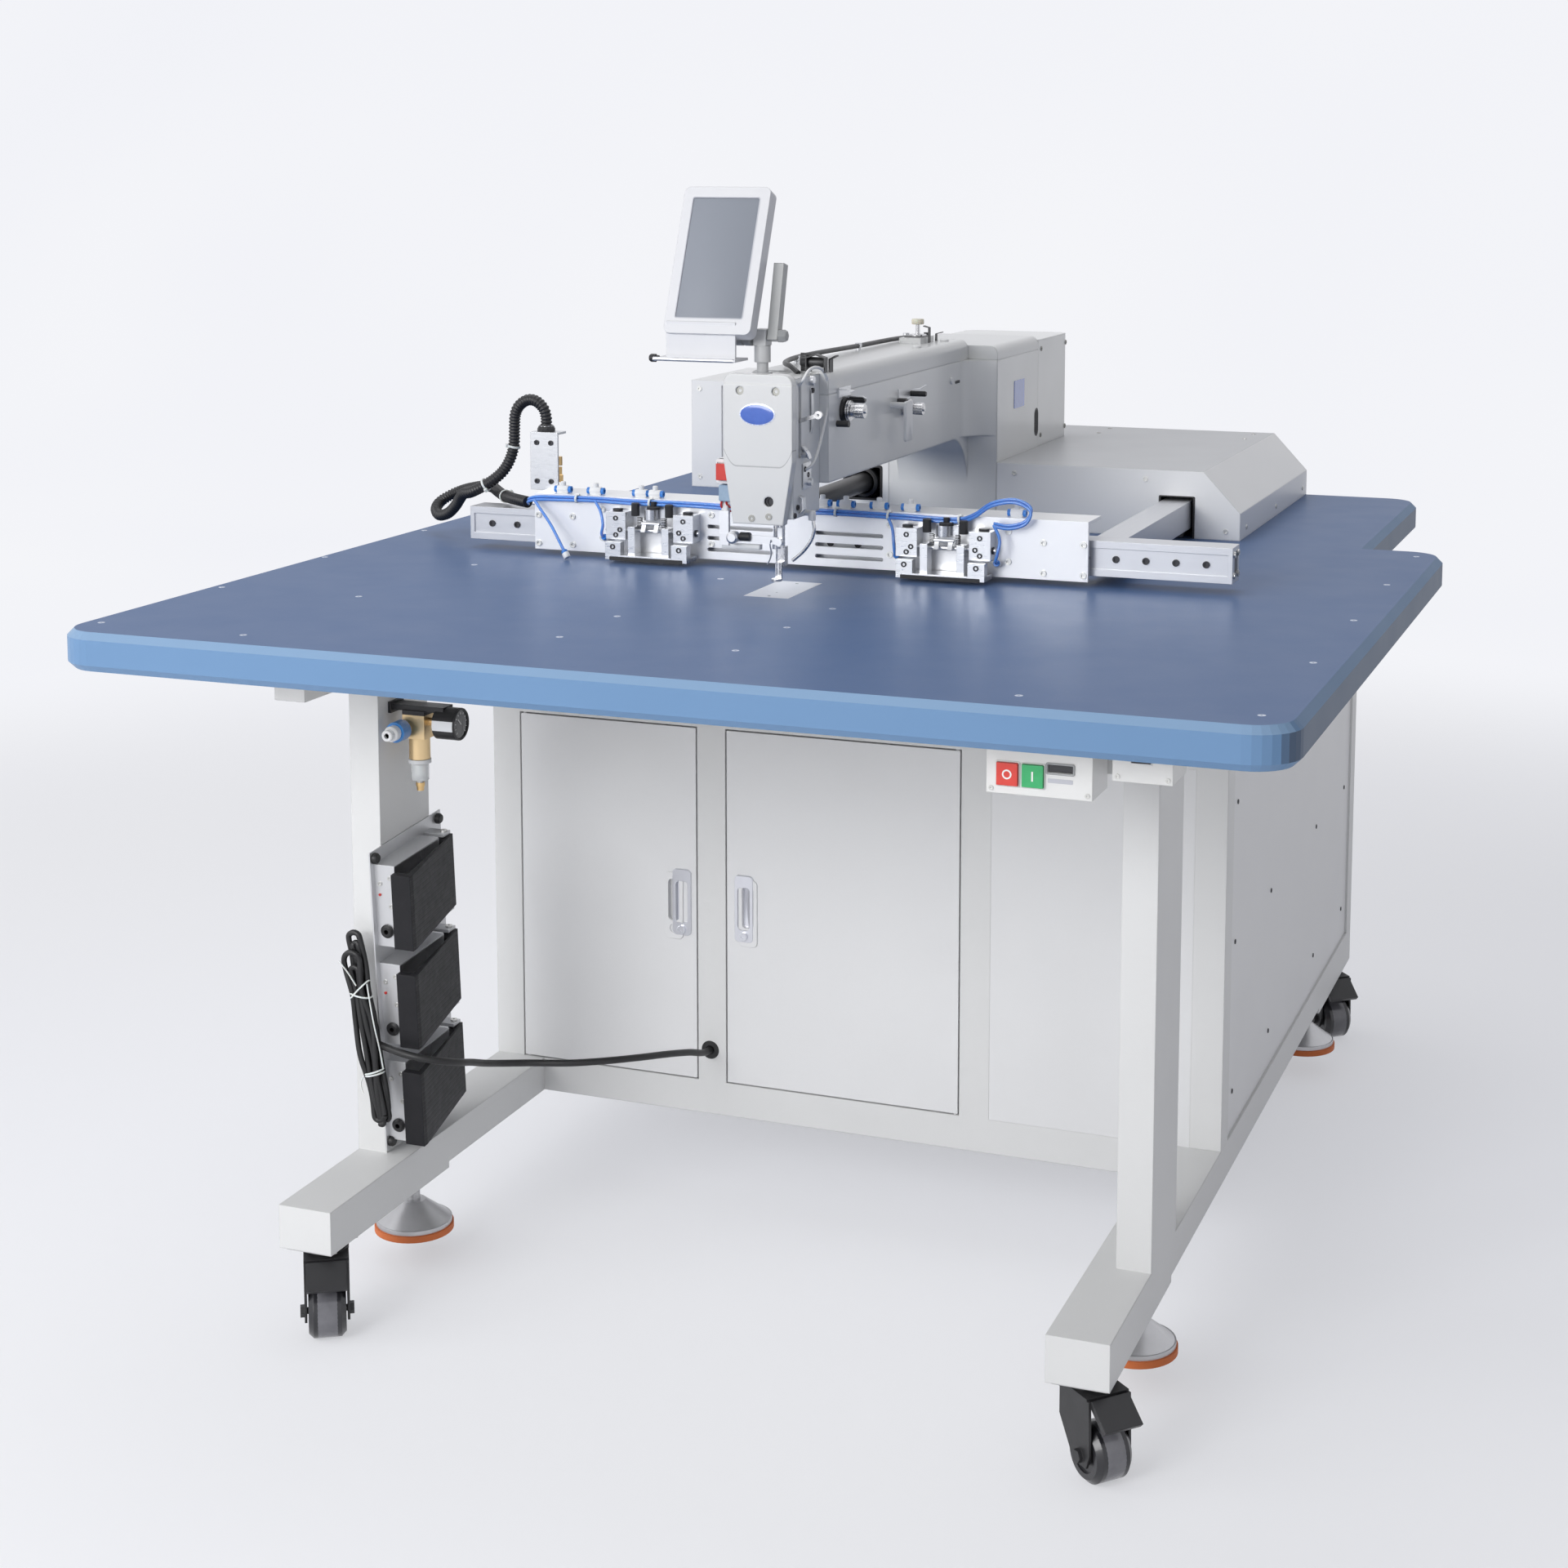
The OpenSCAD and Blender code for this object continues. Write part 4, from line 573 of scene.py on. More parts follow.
hank_ties = piece("hank_ties", join(*wraps), nylon, smooth=60)
path_length(cable_path)
piece("lead_grommet", lathe(
    [(5.2, -4), (12.5, -4), (13.5, -2), (12.5, 0), (6.2, 0.8), (5.2, 0)], 28, at(-185, 685, 206), front
), cable_sheath, smooth=40)


# Stand: two welded side frames of square steel tube and the cabinet's frame between
# them, all powder coated light grey. The tubes are closed by welded plates.
def dress(finish, *names):
    """Gives nodes of the solid model their finish."""
    for name in names:
        nodes[name].data.materials.clear()
        nodes[name].data.materials.append(finish.material)


def powder_coat(name, colour, roughness=0.42, rounding=1.2):
    """Sprayed and baked powder: a fine orange peel, faint clouds and a few rubbed spots."""
    coat = Finish(name, colour, roughness)
    shade = tuple(c * 0.95 for c in colour)
    coat.set("Base Color", coat.blend(coat.noise(350, 3).fade(0.35, 0.75), colour, shade))
    coat.gloss(roughness - 0.05, 0.12, 80, 3)
    coat.relief(coat.noise(2.2, 1) + 0.4 * coat.noise(12, 1), 0.3, 0.25, rounding)
    return coat


frame_coat = powder_coat("frame_powder_coat", (0.73, 0.735, 0.735), rounding=2)
dress(frame_coat, "side_frame_left", "side_frame_right", "cabinet_frame")


screw_tree = bpy.data.node_groups.new("socket_screw", "GeometryNodeTree")
screw_tree.interface.new_socket("Geometry", in_out="OUTPUT", socket_type="NodeSocketGeometry")
screw_inputs = {}
for name, kind in (
    ("Geometry", "Geometry"), ("radius", "Float"), ("height", "Float"), ("sides", "Int"), ("recess", "Float"),
    ("sinking", "Float"), ("material", "Material"),
):
    screw_inputs[name] = screw_tree.interface.new_socket(name, in_out="INPUT", socket_type="NodeSocket" + kind)
given = screw_tree.nodes.new("NodeGroupInput").outputs


def screw_node(kind, settings=None, **sockets):
    """The outputs of a new node in the screws' tree, each socket given a value or a link."""
    made = screw_tree.nodes.new(kind)
    for key, value in (settings or {}).items():
        setattr(made, key, value)
    for socket, value in sockets.items():
        slot = made.inputs[socket.replace("_", " ")]
        if isinstance(value, bpy.types.NodeSocket):
            screw_tree.links.new(value, slot)
        else:
            slot.default_value = value
    return made.outputs


head = screw_node("GeometryNodeMeshCylinder", Vertices=given["sides"], Radius=given["radius"], Depth=given["height"])
lip = screw_node(
    "GeometryNodeExtrudeMesh", {"mode": "FACES"}, Mesh=head["Mesh"], Selection=head["Top"], Offset_Scale=0
)
narrow = screw_node(
    "GeometryNodeScaleElements", Geometry=lip["Mesh"], Selection=lip["Top"], Scale=given["recess"]
)
sunk = screw_node(
    "GeometryNodeExtrudeMesh", {"mode": "FACES"}, Mesh=narrow[0], Selection=lip["Top"], Offset_Scale=given["sinking"]
)
facing = screw_node("GeometryNodeInputNamedAttribute", {"data_type": "FLOAT_VECTOR"}, Name="facing")
turn = screw_node("FunctionNodeAlignRotationToVector", {"axis": "Z"}, Vector=facing[0])
spread = screw_node(
    "GeometryNodeInstanceOnPoints", Points=given["Geometry"], Instance=sunk["Mesh"], Rotation=turn[0]
)
real = screw_node("GeometryNodeRealizeInstances", Geometry=spread[0])
coated = screw_node("GeometryNodeSetMaterial", Geometry=real[0], Material=given["material"])
screw_tree.links.new(coated[0], screw_tree.nodes.new("NodeGroupOutput").inputs[0])


def screws(name, places, finish, radius, height, sides, recess, body="base", slot="foot_steel"):
    """Screw heads on (point, facing) pairs, as one plain piece. Each has a socket that takes
    the recess's share of its width and 0.6 of its height."""
    seeds = bpy.data.meshes.new(name + "_points")
    seeds.from_pydata([point for point, _ in places], [], [])
    aims = seeds.attributes.new("facing", "FLOAT_VECTOR", "POINT")
    aims.data.foreach_set("vector", [c for _, aim in places for c in aim])
    carrier = bpy.data.objects.new(name + "_points", seeds)
    bpy.context.scene.collection.objects.link(carrier)
    growth = carrier.modifiers.new("growth", "NODES")
    growth.node_group = screw_tree
    for size, value in (
        ("radius", radius / 1000), ("height", height / 1000), ("sides", sides), ("recess", recess),
        ("sinking", -0.6 * height / 1000), ("material", finish.material),
    ):
        growth[screw_inputs[size].identifier] = value
    ready = carrier.evaluated_get(bpy.context.evaluated_depsgraph_get())
    mesh = bpy.data.meshes.new_from_object(ready)
    bpy.data.objects.remove(carrier)
    piece(name, mesh, finish, body, None, slot)


zinc = Finish("zinc_plated", (0.62, 0.62, 0.6), 0.32, Metallic=1)
zinc.gloss(0.24, 0.25, 4, 3)
zinc.grain(1, 0.1, 0.3)
screws("caster_plate_bolts", [
    (at(x + dx, y + dy, 106), (0, 0, -1)) for x in (-467, 467) for y in (175, 1640) for dx in (-24, 24)
    for dy in (-24, 24)
], zinc, 5.8, 4, 6, 0.45)


# Cabinet: folded sheet panels between the posts, powder coated a shade lighter, with two
# doors. Dark gaps show round each door; pressed steel pulls are let into both.
panel_coat = powder_coat("panel_powder_coat", (0.78, 0.785, 0.795), 0.38, 0.8)
dress(panel_coat, "cabinet_panels", "door_left", "door_centre")

pull_steel = Finish("pull_steel", (0.74, 0.75, 0.8), 0.28, Metallic=0.75)
pull_steel.set("Roughness", 0.22 + 0.18 * pull_steel.noise(10, 3, (1, 1, 0.1)))
pull_steel.relief(pull_steel.noise(1.5, 2, (1, 1, 0.08)), 0.1, 0.3)


def rounded_loop(width, height, radius, corner=6):
    """Points round a rectangle with round corners, in its own plane, in millimetres."""
    loop = []
    for cx, cz, start in ((1, 1, 0), (-1, 1, 90), (-1, -1, 180), (1, -1, 270)):
        for k in range(corner + 1):
            a = math.radians(start + 90 * k / corner)
            x, z = width / 2 - radius, height / 2 - radius
            loop.append((cx * x + radius * math.cos(a), cz * z + radius * math.sin(a)))
    return loop


def pressed_plate(levels, place, corner=6, close="last"):
    """A plate pressed from sheet: rings of (width, height, radius, depth towards the operator)."""
    rings = []
    for width, height, radius, depth in levels:
        loop = rounded_loop(width, height, radius, corner)
        rings.append([Vector(place) + Vector((x, -depth, z)) / 1000 for x, z in loop])
    return shell(rings, close)


for name, body, x in (("pull_left", "left_door", -224.5), ("pull_centre", "centre_door", -135.5)):
    plate = pressed_plate([
        (26.2, 90.2, 6, -0.5), (26.2, 90.2, 6, 2.2), (24.6, 88.6, 5.5, 3), (18, 58, 5, 3), (16.8, 56.8, 4.8, 2.4),
        (15, 54.5, 4.5, -3.5), (12, 50, 4, -4.4)
    ], at(x, 685, 405))
    knob = lathe([(5.8, 0), (5.8, 3.2), (4.8, 4), (2.2, 4), (1.8, 2.8), (0, 2.8)], 24, at(x, 682, 368), front)
    piece(name, join(plate, knob), pull_steel, body, slot="foot_steel")

side_screws = [
    (at(s * 499.2, y, z), (s, 0, 0)) for s in (-1, 1) for y in (760, 1000, 1350, 1600) for z in (215, 410, 590)
]
dark_zinc = Finish("black_screw", (0.05, 0.05, 0.055), 0.4, Metallic=0.6)
dark_zinc.gloss(0.35, 0.2, 2)
screws("panel_screws", side_screws, dark_zinc, 3.2, 1.8, 12, 0.5, slot="caster_metal")


# Feet and casters: screwed levelling pads with an orange rubber sole, held clear of the
# floor, and black pressed-steel swivel casters on zinc bolts.
foot_steel = Finish("foot_steel", (0.5, 0.5, 0.51), 0.34, Metallic=0.9)
height_up = foot_steel.axis(2)
sole = height_up < 0.0455
thread = (height_up > 0.078) * height_up.wave(0.0018)
foot_steel.set("Base Color", foot_steel.blend(sole, foot_steel.blend(
    foot_steel.noise(30, 3), (0.46, 0.46, 0.47), (0.58, 0.58, 0.59)
), foot_steel.blend(foot_steel.facing(2) < -0.5, (0.66, 0.17, 0.045), (0.16, 0.05, 0.02))))
foot_steel.set("Metallic", 0.9 - 0.9 * sole)
foot_steel.set("Roughness", 0.3 + 0.25 * sole + 0.15 * foot_steel.noise(10, 3))
foot_steel.relief(foot_steel.noise(2) * 0.2 + thread * 0.5, 0.6, 0.5, 1)
dress(foot_steel, "levelling_feet")

fork_black = Finish("fork_black", (0.022, 0.022, 0.024), 0.36)
fork_black.gloss(0.3, 0.2, 20, 3)
fork_black.grain(3, 0.2, 0.3, 1.2)
tread_black = Finish("wheel_black", (0.02, 0.02, 0.024), 0.25, Coat_Weight=0.3)
tread_black.gloss(0.2, 0.25, 15, 3)
tread_black.grain(4, 0.2, 0.3, 1.5)
tread_grey = Finish("wheel_tread", (0.16, 0.16, 0.18), 0.22, Coat_Weight=0.4, Coat_Roughness=0.1)
tread_grey.clouds(20, (0.1, 0.1, 0.115), (0.22, 0.22, 0.24), 3)
tread_grey.grain(6, 0.2, 0.3)
for key, x, y, turn in (("fl", -467, 175, -58), ("fr", 467, 175, -42), ("rl", -467, 1640, -50), ("rr", 467, 1640, -50)):
    dress(fork_black, "caster_fork_" + key)
    dress(tread_black, "caster_wheel_" + key)
    a = math.radians(turn)
    axle = Vector((-math.sin(a), math.cos(a), 0))
    hub = at(x, y, 32) + 0.026 * Vector((math.cos(a), math.sin(a), 0))
    piece("tread_" + key, lathe(
        [(31.8, -12.5), (32.15, -11), (32.15, 11), (31.8, 12.5)], 40, hub, axle
    ), tread_grey, "wheel_" + key, 40, slot="wheel_tread")
    screws("axle_bolts_" + key, [
        (hub + s * axle * 0.0275, s * axle) for s in (-1, 1)
    ], zinc, 6.2, 4.5, 6, 0.5, "fork_" + key)
    screws("stem_nut_" + key, [(at(x, y, 88), (0, 0, -1))], zinc, 6.5, 4, 6, 0.55, "fork_" + key)


# Tabletop: thick board faced with a glossy blue laminate, with a lighter moulded edge
# band pressed all round and plated screw caps along the hidden frame.
laminate = Finish("blue_laminate", (0.1, 0.15, 0.27), 0.3, Coat_Roughness=0.16, Specular_IOR_Level=0.08)
top = laminate.facing(2).fade(0.86, 0.94)
speck = laminate.noise(4, 1)
field = laminate.blend(laminate.noise(500, 3), (0.08, 0.141, 0.288), (0.091, 0.158, 0.316))
band = laminate.blend(laminate.noise(200), (0.15, 0.27, 0.455), (0.168, 0.295, 0.49))
# Painted highlight: the band's upper rounding on the front faces is lightened towards pale blue, as if it caught the
# light.
painted_edge_highlight = laminate.facing(2).fade(0.5, 0.8) * (1 - top) * (laminate.facing(1) < -0.3)
# Painted shade: the band's right-facing sides are darkened towards a dark blue.
band = laminate.blend(laminate.facing(0).fade(0.6, 0.9) * 0.85, band, (0.095, 0.125, 0.18))
band = laminate.blend(painted_edge_highlight * 0.4, band, (0.4, 0.54, 0.7))
under = laminate.facing(2) < -0.8
laminate.set("Base Color", laminate.blend(under, laminate.blend(
    top, band, laminate.blend(speck.fade(0.6, 0.75) * 0.12, field, (0.16, 0.22, 0.36))
), (0.62, 0.62, 0.6)))
laminate.set("Roughness", 0.36 + 0.08 * laminate.noise(60, 3) - 0.03 * top)
laminate.set("Coat Weight", (0.2 - 0.2 * top) * (laminate.facing(0) < 0.5))
laminate.relief(laminate.noise(3.5, 1) * 0.4 + laminate.noise(250, 1), 0.3, 0.15)
dress(laminate, "tabletop")
cap_steel = Finish("cap_steel", (0.58, 0.62, 0.7), 0.35, Metallic=0.8)
cap_steel.gloss(0.3, 0.2, 3)
cap_places = [
    (-673, 61), (-679, 313), (-685, 563), (-680, 821), (-487, 316), (-470, 578), (-479, 54), (-139, 308), (-145, 170),
    (67, 168), (70, 313), (-128, 591), (77, 443), (417, 56), (659, 53), (661, 325), (662, 587), (662, 846), (666, 1084),
]
screws("table_screw_caps", [(at(x, y, 859.9), up) for x, y in cap_places], cap_steel, 4.2, 0.6, 16, 0.35)


# Bed and needle plate: a cast iron bed let into the board from below, and a polished
# steel plate screwed flush into the tabletop round the needle hole.
bed_iron = powder_coat("bed_enamel", (0.55, 0.56, 0.55), 0.4, 2)
dress(bed_iron, "bed_casting")
plate_steel = Finish("needle_plate_steel", (0.5, 0.52, 0.56), 0.35, Metallic=0.6)
brushed = plate_steel.noise(1.2, 2, (0.06, 1, 1))
plate_steel.set("Roughness", 0.34 + 0.16 * brushed)
plate_steel.relief(brushed, 0.1, 0.25)
dress(plate_steel, "needle_plate")
screws("needle_plate_screws", [
    (at(-26 + dx, 547 + dy, 859.6), up) for dx in (-23, 23) for dy in (-50, 50)
], cap_steel, 3.4, 0.7, 16, 0.3)


# Arm and head: one hollow iron casting, enamelled pale grey, under pressed covers. The
# casting has a crease along its side and a raised pad for each tension unit.
enamel = Finish("machine_enamel", (0.68, 0.69, 0.685), 0.3, Coat_Weight=0.3, Coat_Roughness=0.15)
enamel.set("Base Color", enamel.blend(enamel.noise(150, 3).fade(0.3, 0.8), (0.8, 0.81, 0.81), (0.76, 0.77, 0.77)))
enamel.gloss(0.26, 0.12, 50, 3)
side_z, side_y = enamel.axis(2), enamel.axis(1)
crease = abs(side_z - 1.0635 + 0.04 * (side_y + 0.24)) < 0.0009
crease = crease * (side_y > -0.245) * (side_y < 0.34)
cut = (abs(side_y - 0.0535) < 0.0008) * (side_z > 1.074) * (side_z < 1.1)
enamel.relief(enamel.noise(2.8, 1) * 0.25 - crease - cut, 0.8, 0.35, 4)
dress(enamel, "arm_casting", "column_cover")
cover_enamel = Finish("cover_enamel", (0.68, 0.685, 0.69), 0.3, Coat_Weight=0.25, Coat_Roughness=0.15)
cover_enamel.clouds(200, (0.72, 0.73, 0.73), (0.67, 0.68, 0.685), 3)
cover_enamel.grain(3, 0.2, 0.2, 3, detail=1)
dress(cover_enamel, "arm_cover")

face_white = Finish("face_enamel", (0.74, 0.745, 0.74), 0.24, Coat_Weight=0.35, Coat_Roughness=0.1)
across = abs(face_white.axis(0) + 0.026)
bend = (across - 0.027).maths("MAXIMUM", across - 0.027, 0)
seam = abs(face_white.axis(2) - 1.0215 - 70 * (bend * bend)) < 0.0008
face_white.set("Base Color", face_white.blend(
    seam * 0.55, face_white.blend(face_white.noise(80, 3), (0.75, 0.755, 0.75), (0.71, 0.715, 0.715)), (0.3, 0.3, 0.31)
))
face_white.relief(face_white.noise(3, 1) * 0.15 - seam, 0.8, 0.4, 3)
dress(face_white, "face_cover")

grey_screw = Finish("face_screw", (0.3, 0.3, 0.28), 0.38, Metallic=0.9)
grey_screw.gloss(0.3, 0.2, 2)
grey_screw.grain(1, 0.1, 0.3)
screws("face_screws", [(at(-49, 467, 1112), front), (at(-3, 467, 1112), front)], grey_screw, 4.7, 2.2, 18, 0.42)
screws("face_lock_screw", [(at(-10, 469, 980), front)], dark_zinc, 7.6, 2.6, 24, 0.62)
screws("face_small_screws", [(at(-12, 464.2, 962), front), (at(-34, 464.2, 959), front)], grey_screw, 4.2, 2, 14, 0.4)
gap_black = Finish("shadow_gap", (0.02, 0.02, 0.022), 0.7)
gap_black.gloss(0.6, 0.2, 10)

badge_blue = Finish("badge_enamel", (0.05, 0.13, 0.55), 0.2, Coat_Weight=0.6)
badge_blue.clouds(10, (0.045, 0.12, 0.5), (0.07, 0.17, 0.62))
badge_rim = Finish("badge_rim", (0.7, 0.75, 0.9), 0.25, Metallic=0.4)
badge_rim.gloss(0.22, 0.1, 4)


def oval_plate(name, finish, place, wide, high, thick):
    """A slightly crowned oval plate that faces the operator, sized in millimetres."""
    plate = lathe([(500, 0), (500, 600), (460, 850), (300, 970), (0, 1000)], 48)
    grow = Matrix.Diagonal((wide / 1000, high / 1000, thick / 1000, 1))
    stance = Matrix.Translation(place) @ Matrix.Rotation(math.pi / 2, 4, "X") @ grow
    bmesh.ops.transform(plate, matrix=stance, verts=plate.verts)
    piece(name, plate, finish, smooth=50)


oval_plate("badge_rim", badge_rim, at(-26.5, 464, 1084), 45.5, 26.5, 0.8)
oval_plate("badge_plate", badge_blue, at(-26.5, 463.6, 1084), 42.5, 23.8, 1.1)

# Side plates on the arm: a plain round plate at the column's corner, a plain blue one on
# the column, and the oval access slot with its dark inside.
pale_blue = Finish("side_plate_blue", (0.28, 0.47, 0.62), 0.3, Coat_Weight=0.3)
pale_blue.clouds(10, (0.25, 0.44, 0.6), (0.33, 0.52, 0.66))
piece("round_plate", lathe(
    [(13.5, -0.3), (13.5, 0.6), (12.8, 0.9), (0, 0.9)], 32, at(56.3, 1157.9, 1071), (0.8, -0.6, 0)
), pale_blue, smooth=40)


def flat_plate(name, finish, place, wide, high, thick, corner=2):
    """A thin plate on a wall that faces right, wide along y and high along z."""
    loop = rounded_loop(wide, high, corner)
    rings = [[Vector(place) + Vector((x, y, z)) / 1000 for y, z in loop] for x in (0, thick)]
    piece(name, shell(rings), finish)


flat_plate("column_plate", badge_blue, at(70, 1246, 1043), 52, 40, 0.7)
flat_plate("column_slot", gap_black, at(70, 1339, 992), 14, 36, 0.6, 6.9)
flat_plate("column_slot_rim", dark_zinc, at(70, 1339, 992), 20, 42, 0.4, 9.9)


# Needle, foot and take-up: polished steel parts that slide and turn in the head. A white
# plastic-coated wire guards the take-up lever, and a thin pipe blows air at the needle.
bright = Finish("bright_steel", (0.62, 0.62, 0.63), 0.2, Metallic=1)
bright.gloss(0.16, 0.2, 6, 3)
bright.grain(1.2, 0.1, 0.25, 0.6)
dress(bright, "needle_bar", "presser_foot", "take_up_lever", "main_shaft", "hook", "winder_spindle")
wire_white = Finish("white_coating", (0.8, 0.81, 0.82), 0.3, Coat_Weight=0.3)
wire_white.gloss(0.28, 0.1, 10)
guard_path = smooth_path([
    at(12, 500, 1116), at(18, 494, 1121), at(23, 489, 1126), at(24, 504, 1135), at(24, 527, 1137), at(24, 552, 1131),
    at(24, 570, 1114), at(24, 571, 1094), at(24, 562, 1073), at(24, 546, 1049), at(24, 530, 1030), at(22, 519, 1019),
    at(15, 514, 1014), at(10, 513, 1013)
], 5)
piece("take_up_guard", tube_mesh(guard_path, 1.9, 10), wire_white, smooth=60, slot="machine_paint")
blower_path = smooth_path([
    at(22, 520, 958), at(24, 520, 949), at(25, 520, 941), at(22, 520, 930), at(16, 520, 920), at(8, 521, 911),
    at(-4, 522, 901)
], 5)
piece("needle_blower", tube_mesh(blower_path, 2.1, 10), bright, smooth=60, slot="polished_steel")
sleeve = solid([(4.6, -6), (5, -5), (5, 4), (4.2, 6)], 6, at(22, 520, 958))
block_end = pin(3.6, 12, 16, at(12, 520, 961), east)
piece("blower_fitting", join(sleeve, block_end), fitting_white, slot="")

# The guides that lead the thread from the take-up lever to the needle: a bent strip with
# a slot, two small brackets and their screws, all on the right side of the head.
def strip(points, width, thick, across):
    """A flat bent strip through the given points, its width along one direction."""
    across = Vector(across).normalized()
    wide, deep = width / 2000, thick / 2000
    rings = []
    for i, point in enumerate(points):
        ahead = (points[min(i + 1, len(points) - 1)] - points[max(i - 1, 0)]).normalized()
        out = ahead.cross(across).normalized()
        rings.append([point + across * sx * wide + out * sy * deep for sx, sy in ((-1, -1), (1, -1), (1, 1), (-1, 1))])
    return shell(rings)


pale_steel = Finish("satin_steel", (0.66, 0.67, 0.69), 0.34, "polished_steel", Metallic=0.9)
pale_steel.gloss(0.28, 0.2, 4, 3)
pale_steel.grain(1.4, 0.1, 0.3)
piece("thread_guides", join(
    strip([
        at(14.4, 537, 1112), at(15.5, 537, 1108), at(16.2, 537, 1085), at(16.2, 537, 1062), at(14.4, 537, 1056)
    ], 7, 1.2, (0, 1, 0)),
    strip([at(14.4, 508, 1043), at(17, 508, 1041), at(21, 510, 1034), at(22, 513, 1028)], 10, 1.4, (0, 1, 0)),
    strip([at(14.6, 520, 1022), at(15.4, 520, 1020), at(15.4, 520, 994), at(14.6, 520, 990)], 26, 1.4, (0, 1, 0)),
    strip([at(14.4, 500, 984), at(18.5, 500, 982), at(19.5, 500, 968), at(15, 500, 962)], 9, 1.4, (0, 1, 0)),
    solid([(6, 0), (6, 5), (4, 6)], 20, at(14, 536, 1120), east),
    pin(5, 6, 16, at(14, 509, 1034), east),
    pin(4.5, 7, 16, at(14, 524, 998), east),
), pale_steel, smooth=30)
screws("guide_screws", [
    (at(15.2, 523, 1007), east), (at(16.3, 537, 1108), east), (at(15.4, 512, 1015), east), (at(14.6, 491, 971), east),
    (at(14.4, 482, 962), east)
], dark_zinc, 3.4, 2.8, 14, 0.5)

# Wiper: a thin hooked wire on a small solenoid that pulls the cut thread from under the
# needle; its steel bar hangs below the head on the casting's bracket.
piece("wiper", join(
    strip([at(-82, 493.6, 962), at(-82, 493.6, 920)], 12, 1.6, east),
    strip([at(-88, 493.2, 930), at(-60, 493.2, 930), at(-20, 493.2, 929), at(-8, 493.2, 928)], 9, 1.6, up),
    strip([at(-9, 493.2, 945), at(-9, 493.2, 922)], 6, 1.6, east),
    solid([(7.5, 0), (7.5, 9), (5, 11)], 20, at(-68, 493, 931), front),
    pin(4.5, 6, 14, at(-9, 493, 928), front),
    tube_mesh(smooth_path(
        [at(-20, 491, 929), at(-23, 496, 922), at(-25, 505, 913), at(-30, 514, 903), at(-36, 520, 895)], 4
    ), 0.9, 8),
), pale_steel, smooth=30)
coil_black = Finish("coil_black", (0.02, 0.02, 0.022), 0.4)
coil_black.relief(abs(coil_black.axis(0).wave(0.0012)), 0.3, 0.6)
piece("wiper_solenoid", solid(
    [(5, 0), (5.5, 1), (5.5, 12), (5, 13)], 20, at(-60, 491.5, 932), east
), coil_black, smooth=40)

# Thread tensions: sprung steel discs and a knurled nut on a stud, with a black check
# spring behind the first, and a white hand lever beside the second.
tension_steel = Finish("tension_steel", (0.6, 0.6, 0.61), 0.22, Metallic=1)
tension_steel.gloss(0.18, 0.2, 3, 3)
tension_steel.grain(1.2, 0.1, 0.3, 0.5)
dress(tension_steel, "main_tension", "second_tension")
for number, (body, y, z) in enumerate((("main_tension", 620, 1076), ("second_tension", 850, 1057))):
    turn = [2 * math.pi * k / 48 for k in range(48 * 5)]
    coil_path = [
        at(36.5 + 5.2 * k / len(turn), y + 7.2 * math.cos(a), z + 7.2 * math.sin(a)) for k, a in enumerate(turn)
    ][::4]
    piece(f"tension_spring_{number + 1}", tube_mesh(coil_path, 0.5, 6), tension_steel, body, 60, slot="polished_steel")
piece("tension_plates", join(
    strip([at(27, 598, 1100), at(27, 640, 1100)], 12, 2.2, up),
    strip([at(28, 600, 1104), at(38, 600, 1104), at(46, 600, 1102)], 10, 1.2, (0, 1, 0)),
    strip([at(27, 826, 1078), at(27, 872, 1074)], 12, 2.2, up),
    strip([at(27.5, 640, 1092), at(44, 640, 1092), at(50, 636, 1090)], 6, 1.2, (0, 1, 0)),
    strip([at(27.5, 872, 1080), at(42, 874, 1082), at(48, 878, 1086)], 5, 1.2, (0, 1, 0)),
), pale_steel, smooth=30)
piece("tension_studs", join(
    lathe([(9.2, 0), (15.5, 0), (16.5, 1), (16.5, 4.2), (9.2, 4.2)], 32, at(26, 620, 1076), east),
    solid([(4.5, 0), (4.5, 18), (3.5, 20)], 16, at(26, 644, 1088), east),
    pin(4, 16, 16, at(26, 596, 1062), east),
    solid([(3.8, 0), (3.8, 20), (3, 22)], 16, at(26, 880, 1074), east),
    pin(4.8, 12, 16, at(26, 828, 1068), east),
), coil_black)
loop = rounded_loop(26, 52, 3)
rims = [[
    at(x, 800 + y * grow, 1046 + z * grow) for y, z in loop
] for x, grow in ((47.5, 0.96), (48, 1), (51, 1), (51.6, 0.96))]
pivot = pin(4.2, 22.5, 16, at(25.5, 800, 1066), east)
piece("tension_lever", join(shell(rims), pivot), fitting_white)

# Thread rod and winder on the arm's top: a blackened rod carried on three steel posts,
# a cream knob over the winder, and two white plugs over the oil holes.
rod_black = Finish("blackened_rod", (0.05, 0.05, 0.052), 0.35, "caster_metal", Metallic=0.5)
rod_black.gloss(0.3, 0.2, 10, 3)
rod_black.grain(2, 0.1, 0.3)
rod_path = smooth_path([
    at(-8, 552, 1127), at(-24, 566, 1134), at(-44, 600, 1135), at(-54, 660, 1136), at(-55, 745, 1136),
    at(-55, 900, 1134), at(-55, 1040, 1133), at(-52, 1128, 1131)
], 6)
piece("thread_rod", tube_mesh(rod_path, 3.2, 10), rod_black, smooth=60)
post = [(4.8, 0), (4.8, 2), (3, 3), (3, 9), (4.6, 10), (4.6, 16), (0, 16)]
piece("rod_posts", join(*[lathe(post, 16, at(-55, y, 1122)) for y in (668, 900, 1100)]), pale_steel)
